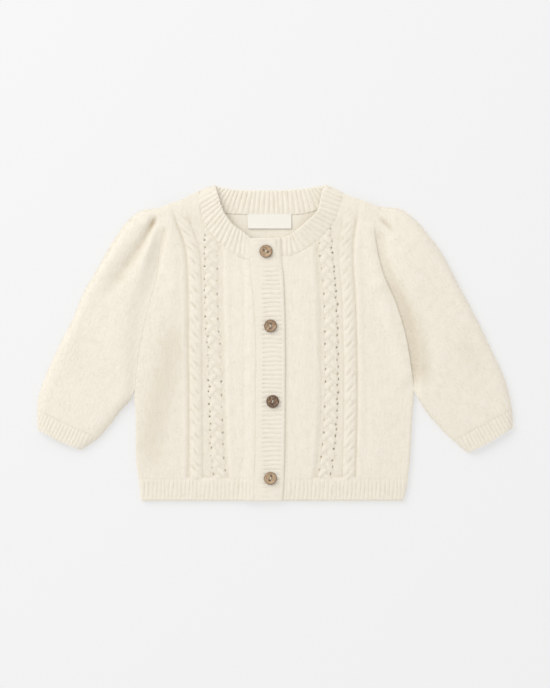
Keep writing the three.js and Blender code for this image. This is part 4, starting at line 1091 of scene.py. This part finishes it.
def buildBand(name, node, rows, under, stripLeft, stripRight):
    # ribs across the middle, a plain strip along each long edge
    shape = bandShape
    isOver = name == "buttonholeBand"
    bottom, top = hem["bottom"], rows[-1]["y"]
    bm, u, v = newGrid(shape["round"], shape["along"])
    y = mix(bottom, top, v)
    left, right = readTable(rows, "y", "left", y), readTable(rows, "y", "right", y)
    rounds = shape["rounds"] if isOver else shape["rounds"][::-1]
    across, offset = wallLoop(u, cloth["thickness"], shape["width"], *rounds)
    x = mix(left, right, across)
    fromRight = right - x
    inRibs = smoothStep(stripLeft - 0.6, stripLeft + 0.6, x)
    inRibs = inRibs * smoothStep(stripRight - 0.7, stripRight + 0.5, fromRight)
    wander = (0.3 * np.sin(y * 0.13 + x * 0.25) + 0.25 * np.sin(y * 0.31)
              + 0.2 * np.sin(x * 0.5 + y * 0.05))
    ribs = ribWave((y - bottom + wander) / shape["ribPitch"]) * shape["ribHeight"]
    if isOver:
        # plain round the top button, fainter at the hem
        inRibs *= (1 - smoothStep(74, 80, y)) * mix(0.35, 1, smoothStep(-148, -140, y))
    strip = shape["strip"] * (1 - inRibs)
    thinned = sunk = np.zeros(x.shape)
    if isOver:
        # the free edge is thinned, and lies close on the neckband at the top
        nearTop = smoothStep(58, 82, y)
        nearEnds = np.maximum(nearTop, 0.8 * smoothStep(-110, -140, y))
        thinned = mix(0.3, 0.88, nearEnds) * (1 - roundOver(fromRight, 12))
        sunk = 0.35 * nearTop * (1 - roundOver(fromRight, 8))
        # the neckband's ribs run on over the top right corner
        corner = smoothStep(83, 87, y) * smoothStep(-6, -3, x) * smoothStep(0, 2, fromRight)
        strip = strip + ribWave((x - 6.2 - 0.05 * (y - 95)) / neckShape["ribPitch"]) * 0.7 * corner
    endRound = roundOver(np.minimum(v, 1 - v) * (top - bottom), shape["endRound"])
    rise = (cloth["thickness"] / 2 + mix(0.2, 1, endRound) * offset) * (1 - thinned)
    moveVerts(bm, x, y, under - sunk + rise + np.where(offset > 0, ribs * inRibs + strip, 0))
    layFabric(bm, y, x)
    weld(bm, 0.01 * mm)
    closeEnds(bm)
    # painted shade in the grooves of the ribs
    paintShadeInHollows(bm, 3)
    return finishPiece(name, bm, ribKnit, [node])


buttonBand = buildBand("buttonBand", "button_band", underBandRows, frontUnder, -9, 9)
buttonholeBand = buildBand(
    "buttonholeBand", "buttonhole_band", overBandRows, overBandUnder, -12.3, 3.6
)


# neck label

labelShape = {"left": -27.5, "right": 16.5, "top": 129.2, "bottom": 114.5,
              "thickness": 0.5, "lift": 0.8, "sway": 0.3}


def buildLabel():
    shape = labelShape
    bm, u, v = newGrid(90, 30)
    x = mix(shape["left"], shape["right"], u)
    y = mix(shape["bottom"], shape["top"], v)
    down = 1 - v
    sway = np.maximum(shape["sway"] * np.sin((x - shape["left"]) / 7) * down, 0)
    bed = backTop + cloth["gap"] + shape["lift"] * down**2 + sway
    moveVerts(bm, x, y, bed + shape["thickness"])
    layFabric(bm, x, y)
    turnOut(bm)
    piece = finishPiece("neckLabel", bm, tape, ["neck_label"])
    addWall(piece, shape["thickness"])
    return piece


neckLabel = buildLabel()


# buttons

buttonShape = {"radius": 6.4, "thickness": 2.8, "hole": 1.0, "spacing": 3.8, "lift": 0.32,
               "threads": 2, "threadRadius": 0.24, "threadApart": 0.42}
buttonRows = [
    {"name": "button_1", "x": -9, "y": 91.5, "turn": 64, "tone": 0.06},
    {"name": "button_2", "x": -4.5, "y": 17, "turn": -9, "tone": -0.01},
    {"name": "button_3", "x": -2.3, "y": -58.3, "turn": -22, "tone": -0.12},
    {"name": "button_4", "x": -4.6, "y": -135, "turn": -18, "tone": 0.07},
]


def placeOf(row):
    level = overBandTop + buttonShape["lift"] + cloth["gap"]
    turn = Matrix.Rotation(math.radians(row["turn"]), 4, "Z")
    return Matrix.Translation((row["x"] * mm, row["y"] * mm, level * mm)) @ turn


def turnedDisc(shape):
    # half a section, turned round the middle
    r, t = shape["radius"], shape["thickness"]
    profile = [
        (0, 0), (r - 1.6, 0), (r - 0.8, 0.25), (r - 0.25, 0.8), (r, 1.5), (r - 0.15, 2.1),
        (r - 0.6, 2.6), (r - 1.2, t), (r - 1.8, 2.65), (r - 2.3, 2.25), (r - 2.9, 1.95),
        (r - 3.8, 1.82), (0, 1.8),
    ]
    bm = bmesh.new()
    verts = [bm.verts.new((px * mm, 0, pz * mm)) for px, pz in profile]
    edges = [bm.edges.new(pair) for pair in zip(verts, verts[1:])]
    bmesh.ops.spin(bm, geom=verts + edges, cent=(0, 0, 0), axis=(0, 0, 1),
                   angle=2 * math.pi, steps=56, use_merge=True)
    weld(bm, 0.001 * mm)
    turnOut(bm)
    return addObject("turned", meshFrom(bm, "turned"))


def twoDrills(shape):
    bm = bmesh.new()
    radius = shape["hole"] * mm
    for sign in (-1, 1):
        place = Matrix.Translation((0, sign * shape["spacing"] / 2 * mm, 2 * mm))
        bmesh.ops.create_cone(bm, cap_ends=True, segments=24, radius1=radius, radius2=radius,
                              depth=8 * mm, matrix=place)
    return addObject("drill", meshFrom(bm, "drill"))


def buildButton(row):
    shape = buttonShape
    turned, drill = turnedDisc(shape), twoDrills(shape)
    cut = turned.modifiers.new("holes", "BOOLEAN")
    cut.operation = "DIFFERENCE"
    cut.object = drill
    bm = bmeshOf(meshOf(turned))
    bpy.data.objects.remove(turned)
    bpy.data.objects.remove(drill)
    rim = bm.verts.layers.float.new("rim")
    tone = bm.verts.layers.float.new("tone")
    for vert in bm.verts:
        px, py = vert.co.x / mm, abs(vert.co.y) / mm
        toHole = math.hypot(px, py - shape["spacing"] / 2) - shape["hole"]
        fromMiddle = math.hypot(px, py) / shape["radius"]
        # darker towards the outer rim, and painted shade on the walls of the holes
        vert[rim] = float(max(0.9 * smoothStep(0.8, 0.97, fromMiddle), 1.25 * (toHole < 0.05)))
        vert[tone] = row["tone"]
    bmesh.ops.transform(bm, matrix=placeOf(row), verts=bm.verts[:])
    return finishPiece(row["name"] + "Turned", bm, shell, [row["name"]])


def buildThread(row):
    # strands over the bridge between the holes and down through them
    shape = buttonShape
    curve = bpy.data.curves.new("strands", "CURVE")
    curve.dimensions = "3D"
    curve.bevel_depth = shape["threadRadius"] * mm
    curve.bevel_resolution = 2
    curve.resolution_u = 6
    half = shape["spacing"] / 2 - 0.5
    for k in range(shape["threads"]):
        side = (k - (shape["threads"] - 1) / 2) * shape["threadApart"]
        arch = [
            (side * 0.6, -half, 0.4), (side * 0.8, -half, 1.5), (side, -half * 0.5, 2.25),
            (side, 0, 2.35),
            (side, half * 0.5, 2.25), (side * 0.8, half, 1.5), (side * 0.6, half, 0.4),
        ]
        spline = curve.splines.new("POLY")
        spline.points.add(len(arch) - 1)
        for point, (px, py, pz) in zip(spline.points, arch):
            point.co = (px * mm, py * mm, pz * mm, 1)
    holder = addObject("strands", curve)
    bm = bmeshOf(meshOf(holder))
    bpy.data.objects.remove(holder)
    closeEnds(bm)
    bmesh.ops.transform(bm, matrix=placeOf(row), verts=bm.verts[:])
    return finishPiece(row["name"] + "Thread", bm, thread, None)


print("stage: label and buttons")
for row in buttonRows:
    buildButton(row)
    buildThread(row)


# stray fibres of the brushed wool

fuzz = {"radius": 0.11, "shortest": 1.2, "longest": 3.4, "lean": 0.75, "edgeShare": 7, "lowest": 2.3}


def fibreShape():
    # one fibre: a slim closed cone, root at the origin
    bm = bmesh.new()
    bmesh.ops.create_cone(bm, cap_ends=True, segments=3, radius1=1, radius2=0, depth=1,
                          matrix=Matrix.Translation((0, 0, 0.5)))
    weld(bm, 0.0001)
    bm.verts.index_update()
    corners = np.array([vert.co[:] for vert in bm.verts])
    faces = [[vert.index for vert in face.verts] for face in bm.faces]
    bm.free()
    return corners, faces


def growFuzz(piece, count, seed):
    chance = np.random.default_rng(seed)
    mesh = meshOf(piece)
    mesh.calc_loop_triangles()
    places = np.empty(len(mesh.vertices) * 3)
    mesh.vertices.foreach_get("co", places)
    triangles = np.empty(len(mesh.loop_triangles) * 3, int)
    mesh.loop_triangles.foreach_get("vertices", triangles)
    spots = places.reshape(-1, 3)[triangles.reshape(-1, 3)]
    normals = np.cross(spots[:, 1] - spots[:, 0], spots[:, 2] - spots[:, 0])
    areas = np.linalg.norm(normals, axis=1)
    normals /= np.maximum(areas, 1e-15)[:, None]
    # the side that shows, and more fibres where it turns away at an edge
    shows = (normals[:, 2] > 0.1) & (spots[:, :, 2].min(axis=1) > fuzz["lowest"] * mm)
    weights = areas * shows * (1 + fuzz["edgeShare"] * np.clip(0.9 - normals[:, 2], 0, 1))
    chosen = chance.choice(len(weights), count, p=weights / weights.sum())
    facing = normals[chosen]
    first, second, third = (spots[chosen, k] for k in range(3))
    a, b = chance.random((2, count))
    a, b = np.where(a + b > 1, (1 - a, 1 - b), (a, b))
    roots = first * (1 - a - b)[:, None] + second * a[:, None] + third * b[:, None]
    aim = facing * chance.uniform(0.2, 0.7, (count, 1))
    aim = aim + chance.normal(0, 0.5, (count, 3)) * fuzz["lean"]
    aim /= np.linalg.norm(aim, axis=1)[:, None]
    below = (aim * facing).sum(axis=1)
    aim -= facing * np.minimum(2 * below, 0)[:, None]
    aside = np.cross(aim, chance.normal(0, 1, (count, 3)))
    aside /= np.linalg.norm(aside, axis=1)[:, None]
    across = np.cross(aim, aside)
    long = chance.uniform(fuzz["shortest"], fuzz["longest"], (count, 1)) * mm
    wide = fuzz["radius"] * mm
    corners, faces = fibreShape()
    verts = np.concatenate([
        roots + (aside * cx + across * cy) * wide + aim * long * cz for cx, cy, cz in corners
    ])
    verts[:, 2] = np.maximum(verts[:, 2], 0)
    name = piece.name + "Fuzz"
    fibreMesh = bpy.data.meshes.new(name)
    fibreMesh.from_pydata(verts, [], [
        [corner * count + k for corner in face] for k in range(count) for face in faces
    ])
    fibreMesh.materials.append(fibre)
    fibres = addObject(name, fibreMesh)
    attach(fibres, "root")
    return fibres


print("stage: fuzz")
fuzzOf = {
    piece.name: growFuzz(piece, count, seed)
    for piece, count, seed in (
        (rightFront, 9500, 21), (leftFront, 9500, 22), (rightSleeve, 6500, 23),
        (leftSleeve, 6500, 24), (neckBand, 3600, 25), (buttonholeBand, 1400, 26),
    )
}


# floor, light and camera

studio = {
    "floor": 0.4, "floorSize": 3, "floorGlow": 0.49, "world": 0.765,
    "key": 29, "keyPlace": (-1.4, 1.3, 1.75), "keySize": 1.8,
    "lens": 100, "sensor": 36, "frameHeight": 0.688,
}
white = (1, 1, 1, 1)


def paleFloor():
    bm = bmesh.new()
    bmesh.ops.create_grid(bm, x_segments=1, y_segments=1, size=studio["floorSize"])
    mesh = meshFrom(bm, "paleFloor")
    material, tree, shader = newMaterial("paleFloor")
    setInputs(tree, shader, {
        "Base Color": (*[studio["floor"]] * 3, 1),
        # a light table: it glows a little, so the shadows stay faint
        "Emission Color": white,
        "Emission Strength": studio["floorGlow"],
        "Roughness": 0.9,
        "Specular IOR Level": 0.1,
    })
    mesh.materials.append(material)
    floor = addObject("paleFloor", mesh)


def studioLight():
    world = bpy.data.worlds.new("studio")
    world.use_nodes = True
    background = world.node_tree.nodes["Background"]
    setInputs(world.node_tree, background, {"Color": white, "Strength": studio["world"]})
    bpy.context.scene.world = world
    light = bpy.data.lights.new("key", "AREA")
    light.energy = studio["key"]
    light.size = studio["keySize"]
    key = addObject("key", light)
    key.location = studio["keyPlace"]
    key.rotation_euler = Vector(studio["keyPlace"]).to_track_quat("Z", "Y").to_euler()


def overheadCamera():
    data = bpy.data.cameras.new("overhead")
    data.lens = studio["lens"]
    data.sensor_width = studio["sensor"]
    data.sensor_fit = "AUTO"
    camera = addObject("overhead", data)
    camera.location = (0, -0.001, studio["frameHeight"] * data.lens / data.sensor_width + 0.005)
    bpy.context.scene.camera = camera


print("stage: studio")
paleFloor()
studioLight()
overheadCamera()
bpy.context.scene.view_settings.view_transform = "Standard"
